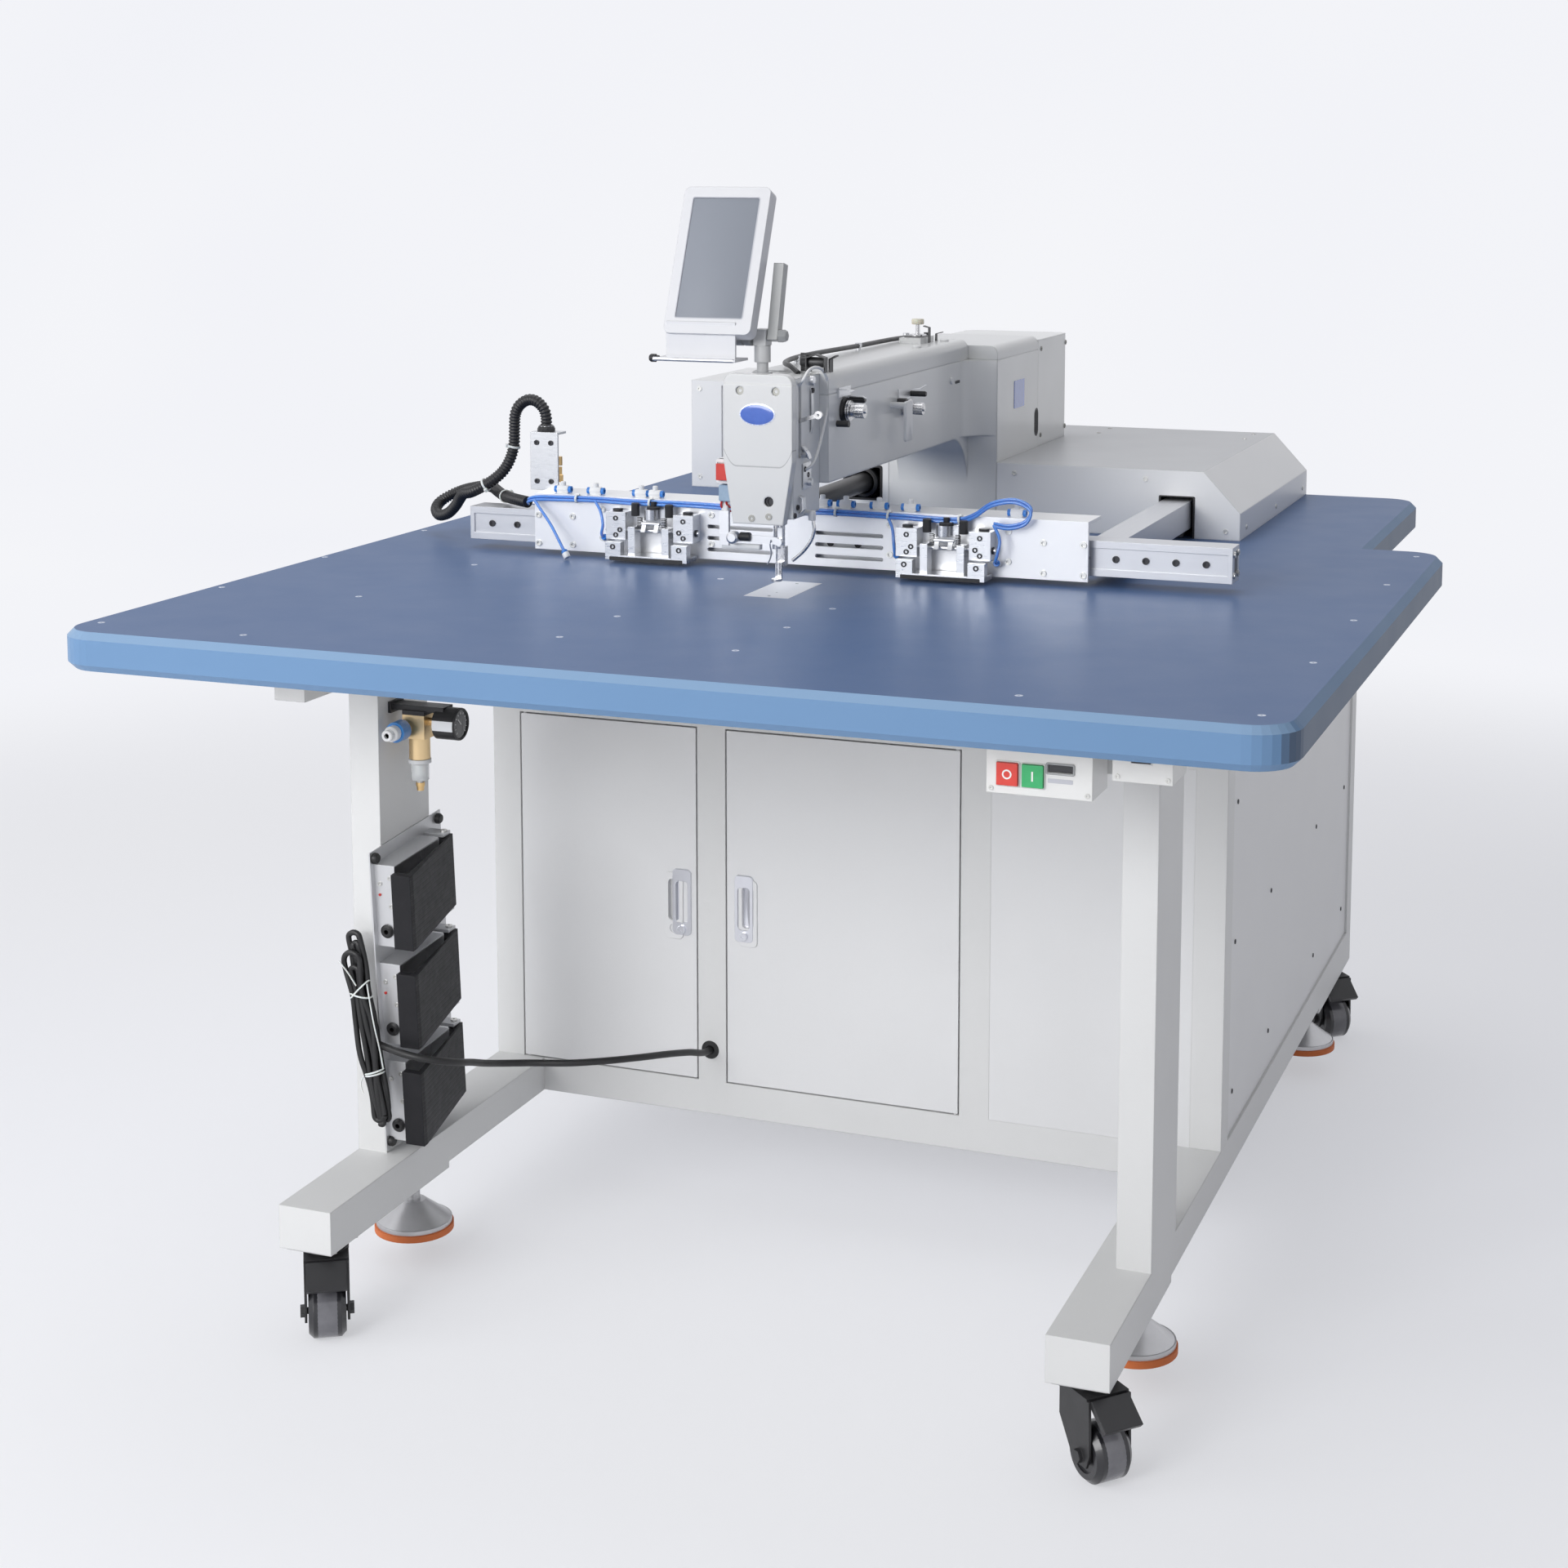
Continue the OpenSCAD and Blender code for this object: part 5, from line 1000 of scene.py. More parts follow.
piece("top_thread_guides", join(
    strip([
        at(2, 556, 1129), at(2, 556, 1146), at(14, 556, 1150), at(26, 556, 1146), at(26, 556, 1128)
    ], 10, 1.8, (0, 1, 0)),
    strip([at(-6, 574, 1128), at(-6, 574, 1150)], 14, 2, east),
    strip([at(20, 590, 1124), at(20, 590, 1142), at(28, 590, 1146)], 12, 2, (0, 1, 0)),
    solid([(5.5, -16), (6.5, -14), (6.5, 14), (5.5, 16)], 20, at(8, 562, 1140), east),
    pin(4, 12, 14, at(-6, 574, 1144), front),
), rod_black, smooth=30)
cream = Finish("cream_plastic", (0.8, 0.76, 0.62), 0.38, Subsurface_Weight=0.1)
cream.gloss(0.33, 0.12, 6)
piece("winder_knob", lathe(
    [(0, 0), (8, 0), (8.8, 1), (8.8, 6), (8, 7.5), (0, 7.8)], 28, at(-26, 1065, 1153.2)
), cream, "winder", 40, slot="switch_plastic")
piece("oil_hole_plugs", join(
    *[lathe([(0, 0), (6.2, 0), (6.2, 2), (5, 3.2), (0, 3.6)], 24, at(4, y, 1127.6)) for y in (971, 1094)]
), fitting_white)
piece("winder_plate", join(
    strip([at(-26, 1044, 1136.4), at(-26, 1082, 1136.4)], 26, 1.6, east),
    strip([at(-4, 1050, 1129), at(-4, 1050, 1150), at(-12, 1050, 1152)], 8, 1.4, (0, 1, 0)),
    strip([at(-10, 1100, 1128), at(-10, 1100, 1138), at(-2, 1104, 1140)], 7, 1.4, (0, 1, 0)),
    pin(4.5, 10, 16, at(-30, 1118, 1128)),
    pin(4, 8, 16, at(0, 1146, 1119)),
), rod_black, smooth=30)
piece("arm_side_button", solid([(4.8, 0), (4.8, 2), (3.8, 3)], 24, at(26, 1056, 1076), east), fitting_white)
flat_plate("arm_side_mark", dark_zinc, at(26, 1086, 1072), 20, 4, 0.6, 1.5)

# Halt button: a red cap in a white bezel on the head's left, with its pale blue
# connector block below.
red_cap = Finish("red_cap", (0.62, 0.03, 0.025), 0.28, Coat_Weight=0.3)
red_cap.clouds(10, (0.6, 0.028, 0.022), (0.68, 0.05, 0.035))
red_cap.gloss(0.24, 0.12, 4)
red_cap.grain(2, 0.1, 0.2, 1.2)
dress(red_cap, "halt_button")
piece("halt_bezel", pressed_plate([
    (23, 30, 3, -6), (23, 30, 3, 0), (22.2, 29.2, 2.8, 0.7), (19, 22, 0.8, 0.7), (18.8, 21.8, 0.8, -2)
], at(-78, 486, 1011)), fitting_white)
connector_blue = Finish("connector_blue", (0.3, 0.42, 0.55), 0.4)
connector_blue.clouds(6, (0.26, 0.37, 0.5), (0.36, 0.48, 0.6))
piece("halt_connector", pressed_plate(
    [(18, 20, 2, -12), (18, 20, 2, 0), (16, 18, 2, 1)], at(-78, 489, 984)
), connector_blue)
piece("halt_leads", join(
    tube_mesh(smooth_path([at(-84, 492, 976), at(-86, 494, 968), at(-84, 500, 962), at(-78, 506, 960)], 5), 1.4, 8),
    tube_mesh(smooth_path([at(-78, 492, 976), at(-79, 495, 970), at(-76, 502, 965), at(-70, 508, 964)], 5), 1.4, 8),
), red_cap, smooth=60)


# Covers behind the arm: bent sheet boxes, enamelled white, screwed to the tabletop. The
# drive cover has a window for the round feed arm and a slot for the flat one.
cover_coat = powder_coat("cover_coat", (0.76, 0.765, 0.77), 0.36, 2.5)
# Painted shade: the cover's flat top is painted a darker grey than its white sides.
painted_top_shade = cover_coat.facing(2).fade(0.85, 0.95)
cover_coat.set("Base Color", cover_coat.blend(painted_top_shade, (0.92, 0.925, 0.93), (0.52, 0.53, 0.55)))
dress(cover_coat, "drive_cover")
box_coat = powder_coat("box_coat", (0.87, 0.875, 0.885), 0.4, 2.5)
dress(box_coat, "control_box")
motor_grey = powder_coat("drive_castings", (0.2, 0.21, 0.22), 0.45, 1)
dress(motor_grey, "y_drive", "servo_box")
cover_screws = [(at(x, 1134.6, z), front) for x, z in ((96, 872), (96, 940), (286, 872), (286, 940), (400, 872))]
cover_screws += [(at(420.2, y, 874), east) for y in (1180, 1400, 1620)]
cover_screws += [(at(x, y, 954), up) for x in (-180, 110, 340) for y in (1560, 1630)]
screws("cover_screws", cover_screws, zinc, 3.4, 2.2, 14, 0.5)
screws("lid_screws", [(at(x, 1399.6, z), front) for x in (-503, -264) for z in (876, 1017)], zinc, 3.6, 2.2, 14, 0.5)
rear_screws = [(at(70.2, y, z), east) for y, z in ((1362, 970), (1500, 970), (1362, 1100), (1500, 1100))]
rear_screws += [(at(-92.2, y, z), (-1, 0, 0)) for y, z in ((1362, 970), (1500, 970), (1362, 1100), (1500, 1100))]
screws("rear_cover_screws", rear_screws, grey_screw, 3.6, 2, 14, 0.5)
hole_edge = Finish("window_gasket", (0.018, 0.018, 0.02), 0.55, "black_rubber")
hole_edge.gloss(0.5, 0.15, 4)
hole_edge.grain(2, 0.2, 0.4)


def edging(levels, place):
    """A moulded edging: the same rings as a pressed plate's, closed round on themselves."""
    return pressed_plate(levels, place, close="round")


piece("window_gasket", edging([
    (54, 45, 3, -2), (60.5, 51.5, 4, -2), (60.5, 51.5, 4, 0.6), (59.5, 50.5, 4, 1.4), (54, 45, 3, 1.4)
], at(-132, 1135, 916.5)), hole_edge, slot="")
piece("window_bush", lathe([
    (15.2, -4), (20.5, -4), (21.5, -2), (21.5, 8), (19, 11), (17.2, 11), (17.2, 6), (15.2, 4), (15.2, -4)
], 36, at(-130, 1140, 917), front), hole_edge)
piece("slot_edging", edging(
    [(45.6, 56.6, 1, -2), (51, 60, 2, -2), (51, 60, 2, 0.8), (45.6, 56.6, 1, 0.8)], at(331, 1135, 888.8)
), hole_edge)

# Feed: two arms carry an aluminium cross beam with a steel rail along its front, and the
# clamp plate slides on that rail. All of it is extruded or milled, then clear anodised.
anodised = Finish("clear_anodised", (0.74, 0.75, 0.77), 0.34, Metallic=0.55)
drawn = anodised.noise(1.6, 2, (0.03, 1, 1))
anodised.clouds(250, (0.66, 0.67, 0.7), (0.6, 0.61, 0.64), 3)
anodised.set("Roughness", 0.28 + 0.16 * drawn)
anodised.relief(drawn, 0.1, 0.2, 0.8)
dress(anodised, "x_beam")
arm_metal = Finish("feed_arm_metal", (0.62, 0.63, 0.66), 0.32, Metallic=0.6)
round_arm = arm_metal.axis(0) < 0
arm_metal.set("Base Color", arm_metal.blend(round_arm, (0.66, 0.67, 0.7), (0.035, 0.033, 0.034)))
arm_metal.set("Roughness", 0.28 + 0.14 * arm_metal.noise(3, 2, (1, 0.05, 1)))
arm_metal.set("Metallic", 0.6 - 0.3 * round_arm)
arm_metal.relief(arm_metal.noise(2, 2, (1, 0.05, 1)), 0.1, 0.25, 0.8)
dress(arm_metal, "y_arms")
plate_white = Finish("milled_aluminium", (0.8, 0.81, 0.84), 0.3, Metallic=0.4)
milled = plate_white.noise(1.4, 2, (0.04, 1, 1))
plate_white.clouds(200, (0.9, 0.905, 0.915), (0.85, 0.855, 0.87), 3)
plate_white.set("Roughness", 0.26 + 0.14 * milled)
plate_white.relief(milled, 0.1, 0.2, 0.6)
dress(plate_white, "clamp_plate")
screws("rail_screws", [
    (at(-510.5 + 37.5 * k, 706.4, 895), front) for k in range(27)
], dark_zinc, 4.4, 3, 18, 0.6, "y_carriage")
end_bolts = [(at(497, y, z), east) for y, z in ((714, 882), (714, 908), (736, 882), (736, 908))]
end_bolts += [(at(-543, y, z), (-1, 0, 0)) for y, z in ((714, 882), (714, 908), (736, 882), (736, 908))]
screws("beam_end_bolts", end_bolts, zinc, 4, 4, 16, 0.5, "y_carriage")
plate_bolts = [(at(x, 689.6, z), front) for x in (-432, -382, 264, 315) for z in (875, 913)]
plate_bolts += [(at(x, 689.6, z), front) for x in (-338, -182, 63, 219) for z in (887, 925)]
screws("plate_bolts", plate_bolts, zinc, 4.2, 3, 16, 0.5, "x_carriage")

# Cloth clamps: steel bearing blocks screwed to the plate with a small air cylinder
# between them. Each rocks a jaw on its pin; return springs stand beside the cylinder.
clamp_steel = Finish("ground_steel", (0.68, 0.69, 0.71), 0.24, Metallic=0.9)
ground = clamp_steel.noise(1.2, 2, (0.06, 1, 1))
clamp_steel.set("Roughness", 0.2 + 0.2 * ground)
clamp_steel.relief(ground, 0.1, 0.25, 0.8)
dress(clamp_steel, "clamp_bases", "clamp_jaw_left", "clamp_jaw_right", "hose_bracket")
for side, x in (("left", -260), ("right", 141)):
    piece(f"clamp_caps_{side}", join(
        solid([(9.2, 0), (9.2, 3), (8, 4.2)], 24, at(x, 681, 930)),
        pin(4.2, 6, 6, at(x, 681, 934)),
        *[solid([(5.5, 0), (5.5, 16), (4.5, 17)], 20, at(x + dx, 676, 921)) for dx in (-24, 24)],
        *[pin(6.8, 3, 22, at(x + dx, 678, 926)) for dx in (-50, 50)],
    ), coil_black, "x_carriage")
    piece(f"clamp_links_{side}", join(
        *[strip([at(x + dx, 671, 912.5), at(x + dx, 669, 907), at(x + dx, 665, 901)], 6, 2, east) for dx in (-9, 9)],
        solid([(2.2, -13), (2.2, 13)], 14, at(x, 671, 912), east),
    ), pale_steel, f"{side}_jaw", slot="steel_plate")
    turns = [2 * math.pi * k / 10 for k in range(10 * 7)]
    springs = []
    for dx in (-17, 17):
        coil_line = [at(
            x + dx + 3.4 * math.cos(a), 675 + 3.4 * math.sin(a), 905 + 15 * k / len(turns)
        ) for k, a in enumerate(turns)]
        springs.append(tube_mesh(coil_line, 0.5, 6))
    piece(f"clamp_springs_{side}", join(*springs), rod_black, "x_carriage", 60, slot="foot_steel")
    bolts = [(at(x + s * 48, 666, z), front) for s in (-1, 1) for z in (896, 918)]
    bolts += [(at(x + s * 42, 665.8, 903), front) for s in (-1, 1)]
    screws(f"clamp_bolts_{side}", bolts, dark_zinc, 3.4, 2.6, 16, 0.5, "x_carriage")
    screws(f"clamp_pin_ends_{side}", [
        (at(x + s * 62.2, 676, 902), (s, 0, 0)) for s in (-1, 1)
    ], dark_zinc, 4.6, 3, 18, 0.5, "x_carriage")
    screws(f"jaw_bolts_{side}", [
        (at(x + s * 47, 654, 882), front) for s in (-1, 1)
    ], dark_zinc, 3.6, 2.4, 16, 0.5, f"{side}_jaw")
    piece(f"jaw_pad_{side}", pressed_plate(
        [(104, 5, 1, -2), (104, 5, 1, 0)], at(x, 653.8, 866.6)
    ), hole_edge, f"{side}_jaw")

# Hose bracket: a folded plate screwed to the clamp plate, with a black cable gland that
# grips the conduit and the brass ends of two valves beside it.
piece("hose_gland", lathe([
    (8.2, 0), (11.8, 0), (12.2, 1), (12.2, 7), (10.4, 8), (10.4, 10), (12, 11), (12, 16), (10, 20), (8.2, 21), (8.2, 0)
], 12, at(-441, 733, 1008)), coil_black, "x_carriage", 25)
screws("bracket_bolts", [
    (at(x, 719.8, z), front) for x in (-449, -428) for z in (954, 1006)
], dark_zinc, 3.6, 2.6, 16, 0.5, "x_carriage")
brass = Finish("brass_fitting", (0.8, 0.55, 0.26), 0.28, "brass_parts", Metallic=1)
brass.gloss(0.24, 0.16, 3, 3)
brass.grain(1.5, 0.1, 0.3, 0.5)
piece("bracket_fitting", join(
    solid([(6, 0), (6, 9), (4.5, 10), (4.5, 20)], 6, at(-425, 738, 952)),
    pin(4.5, 12, 18, at(-425, 738, 974)),
), brass, "x_carriage", 30)

# Valve blocks on the clamp plate's flange: small white bodies with a blue release collar
# at each end, strapped down where the air tubes branch.
for name, places in (("left", (-402, -354, -288, -268)), ("middle", (-33, -1, 44)), ("right", (86, 226))):
    bodies, collars = [], []
    for x in places:
        bodies.append(solid([(5, -8), (5.8, -7), (5.8, 7), (5, 8)], 6, at(x, 704, 947), east))
        bodies.append(solid([(3.6, 0), (3.6, 6), (2.8, 7)], 16, at(x, 704, 950.5)))
        for s in (-1, 1):
            collars.append(lathe(
                [(2.4, 0), (4.2, 0), (4.6, 1), (4.6, 4), (2.4, 4.5), (2.4, 0)], 16, at(x + 8 * s, 704, 947), (s, 0, 0)
            ))
    piece(f"valve_bodies_{name}", join(*bodies), fitting_white, "x_carriage")
    piece(f"valve_collars_{name}", join(*collars), collar_blue, "x_carriage", slot="tube_plastic")


# Control panel: a white moulded case with a grey touch screen, on a grey stay that swivels
# on the head's post. A narrow steel tray below it ends in a small dark knob.
case_white = Finish("panel_case", (0.72, 0.725, 0.75), 0.36)
behind = (case_white.axis(1) + 0.3725) * 0.9239 - (case_white.axis(2) - 1.178) * 0.3827
stay_part = (behind > 0.0204) * (case_white.axis(2) > 1.16)
moulded = case_white.blend(case_white.noise(60, 3), (0.73, 0.735, 0.76), (0.69, 0.7, 0.73))
case_white.set("Base Color", case_white.blend(stay_part, moulded, (0.44, 0.45, 0.45)))
case_white.gloss(0.33, 0.1, 10)
case_white.grain(1.2, 0.1, 0.25, 1.6)
dress(case_white, "control_panel")
stay_grey = powder_coat("stay_grey", (0.34, 0.35, 0.36), 0.36, 1)
post_grey = powder_coat("post_grey", (0.62, 0.63, 0.64), 0.32, 1)
dress(post_grey, "panel_post", "panel_arm")
tip_back = Matrix.Translation(at(-95, 470, 1178)) @ Matrix.Rotation(math.radians(-22.5), 4, "X")


def on_panel(shape, x, y, z):
    """Moves a shape from the middle of the panel's foot, in millimetres, to its place."""
    bmesh.ops.transform(shape, matrix=tip_back @ Matrix.Translation((x / 1000, y / 1000, z / 1000)), verts=shape.verts)
    return shape


screen_glass = Finish("screen_glass", (0.25, 0.27, 0.31), 0.42, Specular_IOR_Level=0.25)
screen_glass.set("Base Color", screen_glass.blend(
    screen_glass.axis(2).fade(1.19, 1.36), (0.262, 0.283, 0.325), (0.245, 0.266, 0.308)
))
screen_glass.gloss(0.4, 0.06, 50)
glass = pressed_plate([(86.2, 153.2, 2, -0.4), (86.2, 153.2, 2, 0.3), (85.6, 152.6, 2, 0.5)], (0, 0, 0), 3)
piece("panel_screen", on_panel(glass, 0, 0.9, 97), screen_glass, "panel")
screen_frame = Finish("screen_frame", (0.52, 0.53, 0.58), 0.4)
screen_frame.gloss(0.36, 0.1, 10)
surround = edging([(86.6, 153.6, 2, -1), (89, 156, 3, -1), (89, 156, 3, 0.4), (86.6, 153.6, 2, 0.2)], (0, 0, 0))
piece("panel_screen_frame", on_panel(surround, 0, 0, 97), screen_frame, "panel")
back_lid = pressed_plate([(98, 150, 6, -1), (98, 150, 6, 1), (96, 148, 5, 1.6)], (0, 0, 0), 4)
bmesh.ops.transform(back_lid, matrix=Matrix.Rotation(math.pi, 4, "Z"), verts=back_lid.verts)
piece("panel_back_lid", on_panel(back_lid, 0, 20, 90), case_white, "panel")
back = tip_back.to_3x3() @ Vector((0, 1, 0))
screws("panel_lid_screws", [
    (tip_back @ Vector((x / 1000, 0.0216, z / 1000)), back) for x in (-42, 42) for z in (22, 158)
], dark_zinc, 2.6, 1.6, 14, 0.5, "panel")
piece("panel_hinge_nuts", join(
    solid([(8.5, 0), (8.5, 6), (6, 10)], 6, at(-20, 520, 1174), east),
    solid([(10, 0), (10, 5), (7, 8)], 24, at(-72, 520, 1174), (-1, 0, 0)),
), stay_grey, "panel", 30)
piece("panel_hinge_yoke", join(
    solid([
        (12.2, 0), (13, 1), (13, 9), (11.2, 9.6), (11.2, 11.8), (13, 12.4), (13, 21), (12.2, 22)
    ], 28, at(-54, 520, 1174), (-1, 0, 0)),
    strip([at(-66, 510, 1180), at(-70, 498, 1172), at(-76, 484, 1166)], 16, 3, east),
    pin(4, 4, 16, at(-64, 507.5, 1172), front),
), stay_grey, "panel")
piece("tray_knob", solid(
    [(3.4, 0), (3.4, 3), (5, 4), (5, 10), (3.6, 12)], 20, at(-160, 478, 1146.5), (-1, 0, 0)
), coil_black, "panel")
piece("tray_rod", pin(2.4, 104, 12, at(-162, 466, 1146.5), east), pale_steel, "panel", 40)

# Switch boxes under the table's front edge: a white moulded box with a red stop and a
# green start key and a small counter window, and a smaller box with the data socket.
box_white = Finish("switch_box_white", (0.78, 0.78, 0.77), 0.38)
box_white.clouds(50, (0.79, 0.79, 0.78), (0.74, 0.745, 0.74), 3)
box_white.gloss(0.34, 0.1, 6)
box_white.grain(1.1, 0.1, 0.3, 1.4)
dress(box_white, "switch_box", "usb_box")
key_red = Finish("key_red", (0.7, 0.045, 0.035), 0.3, Coat_Weight=0.2)
key_red.clouds(10, (0.68, 0.04, 0.03), (0.74, 0.07, 0.05))
key_red.grain(1, 0.1, 0.2, 1.2)
dress(key_red, "stop_button")
key_green = Finish("key_green", (0.03, 0.4, 0.13), 0.3, Coat_Weight=0.2)
key_green.clouds(10, (0.025, 0.38, 0.12), (0.05, 0.46, 0.17))
key_green.grain(1, 0.1, 0.2, 1.2)
dress(key_green, "start_button")
mark_white = Finish("key_mark", (0.86, 0.86, 0.85), 0.4, "switch_plastic")
mark_white.gloss(0.38, 0.1, 2)
piece("stop_mark", lathe(
    [(3.4, 0), (5, 0), (5, 0.4), (3.4, 0.4), (3.4, 0)], 28, at(399.5, 76.1, 774), front
), mark_white, "stop_button")
piece("start_mark", pressed_plate(
    [(1.8, 10, 0.3, -0.2), (1.8, 10, 0.3, 0.4)], at(426, 76, 774), 2
), mark_white, "start_button")
window_dark = Finish("counter_window", (0.02, 0.022, 0.026), 0.1, Coat_Weight=0.6)
window_dark.gloss(0.1, 0.08, 4)
piece("counter_window", pressed_plate(
    [(25.2, 7.4, 0.6, -1.2), (25.2, 7.4, 0.6, 0), (24.6, 6.8, 0.6, 0.3)], at(454, 82, 783), 2
), window_dark)
piece("counter_frame", edging(
    [(26.2, 8.2, 0.6, -0.6), (30, 12, 2, -0.6), (30, 12, 2, 1), (29, 11, 2, 1.4), (26.2, 8.2, 0.6, 1)], at(454, 80, 783)
), stay_grey)
key_rims = [edging([
    (22.6, 23.6, 1, -1), (25.6, 26.6, 2, -1), (25.6, 26.6, 2, 1), (24.8, 25.8, 2, 1.6), (22.6, 23.6, 1, 1.2)
], at(x, 80, 774)) for x in (399.5, 426)]
piece("key_frames", join(*key_rims), box_white, slot="switch_plastic")
piece("counter_strip", pressed_plate([(26, 4.5, 0.6, -0.2), (26, 4.5, 0.6, 0.3)], at(454, 80, 770.5), 2), screen_frame)
piece("data_socket", join(
    edging(
        [(20.3, 6.4, 0.6, -10), (21.6, 7.7, 0.8, -10), (21.6, 7.7, 0.8, 0.8), (20.3, 6.4, 0.6, 0.8)], at(536, 80, 799)
    ),
    pressed_plate([(15, 1.8, 0.2, -2), (15, 1.8, 0.2, 6)], at(536, 88, 800.1), 2),
), pale_steel)
screws("switch_box_screws", [
    (at(x, 79.8, z), front) for x, z in ((382, 758), (482, 758), (482, 810), (512, 781), (563, 781))
], zinc, 2.6, 1.8, 14, 0.4)

# Air unit on the left leg: brass regulator body on a black bracket, a black pressure
# gauge, a blue shut-off sleeve with a white push-in end, and a clear filter bowl.
unit_brass = Finish("regulator_body", (0.78, 0.58, 0.3), 0.3, Metallic=0.9)
in_gauge = (unit_brass.axis(0) > -0.4005) * (unit_brass.axis(2) < 0.7265)
in_bracket = (unit_brass.axis(2) > 0.7135) * (unit_brass.axis(2) < 0.729)
in_pipe = unit_brass.axis(1) < -0.5085
dark = (in_gauge + in_bracket).fade(0.2, 0.8)
unit_brass.set("Base Color", unit_brass.blend(
    in_pipe, unit_brass.blend(dark, (0.8, 0.6, 0.34), (0.012, 0.012, 0.014)), (0.78, 0.8, 0.82)
))
unit_brass.set("Metallic", 0.9 - 0.9 * dark)
unit_brass.gloss(0.26, 0.12, 6, 3)
unit_brass.grain(2, 0.1, 0.3, 1)
dress(unit_brass, "air_regulator")
valve_blue = Finish("valve_sleeve", (0.03, 0.2, 0.55), 0.3, Coat_Weight=0.3)
valve_blue.clouds(10, (0.03, 0.18, 0.5), (0.05, 0.26, 0.64))
valve_blue.relief(abs(valve_blue.axis(1).wave(0.0044)), 0.6, 0.5, 0.8)
dress(valve_blue, "slide_valve")
piece("air_inlet_collar", join(
    lathe([(6.2, 0), (9, 0), (9.5, 1), (9.5, 10), (8, 11.5), (6.2, 11.5), (6.2, 0)], 24, at(-438, 311, 697), front),
    lathe([(3.4, 0), (6.4, 0), (7, 1), (7, 3), (6, 4), (3.4, 4), (3.4, 0)], 24, at(-438, 294.8, 697), front),
), fitting_white, slot="")
glass_face = Finish("gauge_glass", (0.03, 0.031, 0.034), 0.06, Coat_Weight=1, Coat_Roughness=0.02)
glass_face.gloss(0.06, 0.05, 10)
piece("gauge_dial", lathe([(0, 0), (17, 0), (17, 0.6), (0, 1.2)], 40, at(-372, 353, 704), east), glass_face, smooth=40)
piece("gauge_rim", lathe(
    [(17.2, 0), (19.8, 0), (19.8, 1.6), (18.8, 2.6), (17.2, 1.6), (17.2, 0)], 40, at(-372, 353, 704), east
), coil_black, smooth=40)
dial_marks = []
for k in range(11):
    a = math.radians(225 - 27 * k)
    mid = at(-370.7, 353, 704) + Vector((0, 0.0135 * math.cos(a), 0.0135 * math.sin(a)))
    out = Vector((0, math.cos(a), math.sin(a)))
    dial_marks.append(strip([mid - out * 0.0012, mid + out * 0.0012], 0.5, 0.3, (0, -math.sin(a), math.cos(a))))
needle_line = strip([at(-370.4, 353, 704), at(-370.4, 346, 711)], 0.8, 0.3, (0, 0.7, 0.7))
piece("gauge_marks", join(*dial_marks, needle_line), mark_white, slot="")
bowl_clear = Finish("clear_bowl", (0.82, 0.85, 0.87), 0.08, Alpha=0.55, Coat_Weight=0.3)
cup_part = (bowl_clear.axis(2) > 0.6312) * (bowl_clear.axis(2) < 0.6518)
bowl_clear.set("Base Color", bowl_clear.blend(cup_part, (0.62, 0.63, 0.64), (0.84, 0.87, 0.89)))
bowl_clear.set("Alpha", 1 - 0.5 * cup_part)
bowl_clear.set("Roughness", 0.3 - 0.2 * cup_part + 0.08 * bowl_clear.noise(4))
bowl_clear.grain(3, 0.1, 0.2, 0.8)
dress(bowl_clear, "filter_bowl")
piece("filter_element", solid([(5.2, 0), (5.8, 1), (5.8, 13)], 20, at(-428, 353, 636)), nylon, "filter_bowl", 40)
piece("bowl_drain", lathe(
    [(2.6, 0), (4.4, 0), (4.6, 4), (5.6, 6), (5.6, 10), (2.6, 10), (2.6, 0)], 16, at(-428, 353, 617)
), brass, "filter_bowl")

# Pedals: three moulded black treads on folded steel housings, riveted to one steel plate
# that leans against the left leg. Rubber plugs close the plate's upper holes.
bank_steel = Finish("bank_steel", (0.66, 0.665, 0.68), 0.36, Metallic=0.75)
rolled = bank_steel.noise(3, 3, (1, 1, 0.05))
bank_steel.clouds(80, (0.7, 0.705, 0.72), (0.6, 0.605, 0.62), 3)
bank_steel.set("Roughness", 0.3 + 0.2 * rolled)
bank_steel.relief(rolled, 0.1, 0.25, 0.8)
dress(bank_steel, "pedal_bank")
tread_rubber = Finish("tread_rubber", (0.012, 0.012, 0.014), 0.5, Specular_IOR_Level=0.3)
tread_rubber.clouds(30, (0.006, 0.006, 0.008), (0.014, 0.014, 0.017), 3)
tread_rubber.gloss(0.42, 0.2, 10, 3)
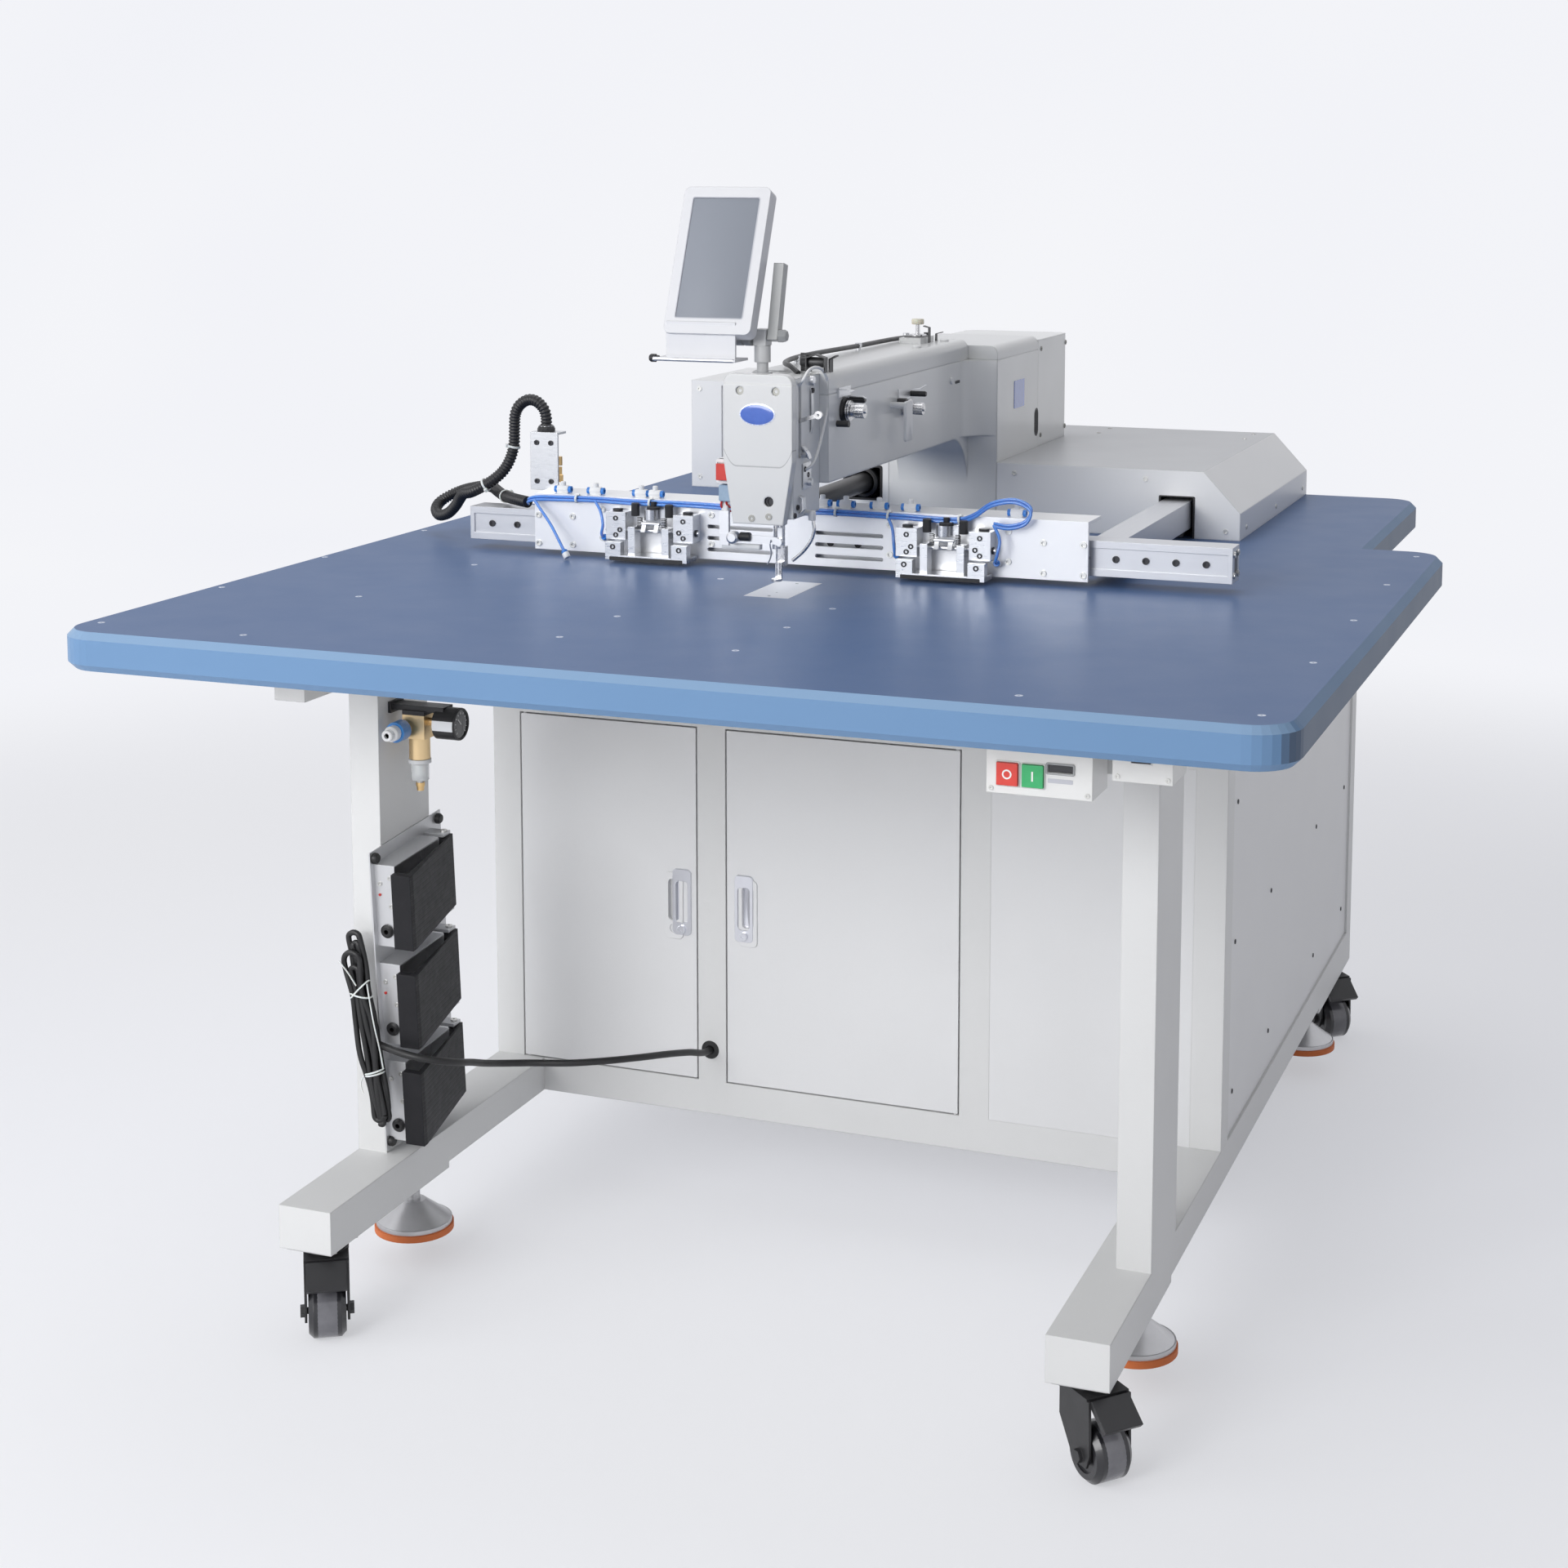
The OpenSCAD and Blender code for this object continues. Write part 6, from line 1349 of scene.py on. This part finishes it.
groove = (tread_rubber.axis(2).wave(0.006)).fade(0.55, 0.9) * tread_rubber.facing(0).fade(0.7, 0.9)
tread_rubber.relief(tread_rubber.noise(1.6) * 0.3 - groove, 1.2, 0.5, 1.6)
dress(tread_rubber, "pedal_tread_top", "pedal_tread_middle", "pedal_tread_bottom")
lean_back = Matrix.Translation(at(-462, 310, 168)) @ Matrix.Rotation(math.radians(4), 4, "X")


def on_bank(x, y, z):
    """A place on the pedal plate, in millimetres from its lower front corner."""
    return lean_back @ Vector((x / 1000, y / 1000, z / 1000))


bank_turn = lean_back.to_3x3()
bank_out, bank_front = bank_turn @ Vector(east), bank_turn @ Vector(front)
bank_levels = [12 + k * (385 / 3 - 2) for k in range(3)]
grommets = [lathe(
    [(3, -3), (7.2, -3), (8.5, -1), (8.5, 2), (6, 4), (3, 4), (3, -3)], 20, on_bank(16, 8, low + 20), bank_front
) for low in bank_levels]
piece("housing_grommets", join(*grommets), cable_sheath)
corner_plugs = [lathe(
    [(0, 0), (6.8, 0), (6.8, 4), (5, 6.5), (0, 7)], 20, on_bank(2, y, z), bank_out
) for y, z in ((9, 376), (166, 376), (9, 9), (166, 9))]
piece("plate_plugs", join(*corner_plugs), cable_sheath, smooth=40)
housing_screws = [
    (on_bank(x, 7.8, low + z), bank_front) for low in bank_levels for x, z in ((9, 80), (23, 52), (23, 88))
]
housing_screws += [(on_bank(2, y, low - 5), bank_out) for low in bank_levels[1:] for y in (40, 130)]
screws("pedal_screws", housing_screws, zinc, 3, 2.2, 14, 0.4)
screws("pedal_lamps", [
    (on_bank(8.5, 7.6, low + 66), bank_front) for low in bank_levels[1:]
], red_cap, 1.8, 1.6, 12, 0.3, slot="")
for name, body, low in zip(("bottom", "middle", "top"), ("bottom_pedal", "middle_pedal", "top_pedal"), bank_levels):
    screws(f"pedal_pivot_{name}", [
        (on_bank(24, 143, low + z), bank_turn @ Vector((0, 0, s))) for z, s in ((-0.6, -1), (104.6, 1))
    ], zinc, 4.5, 2.2, 16, 0.3, body)
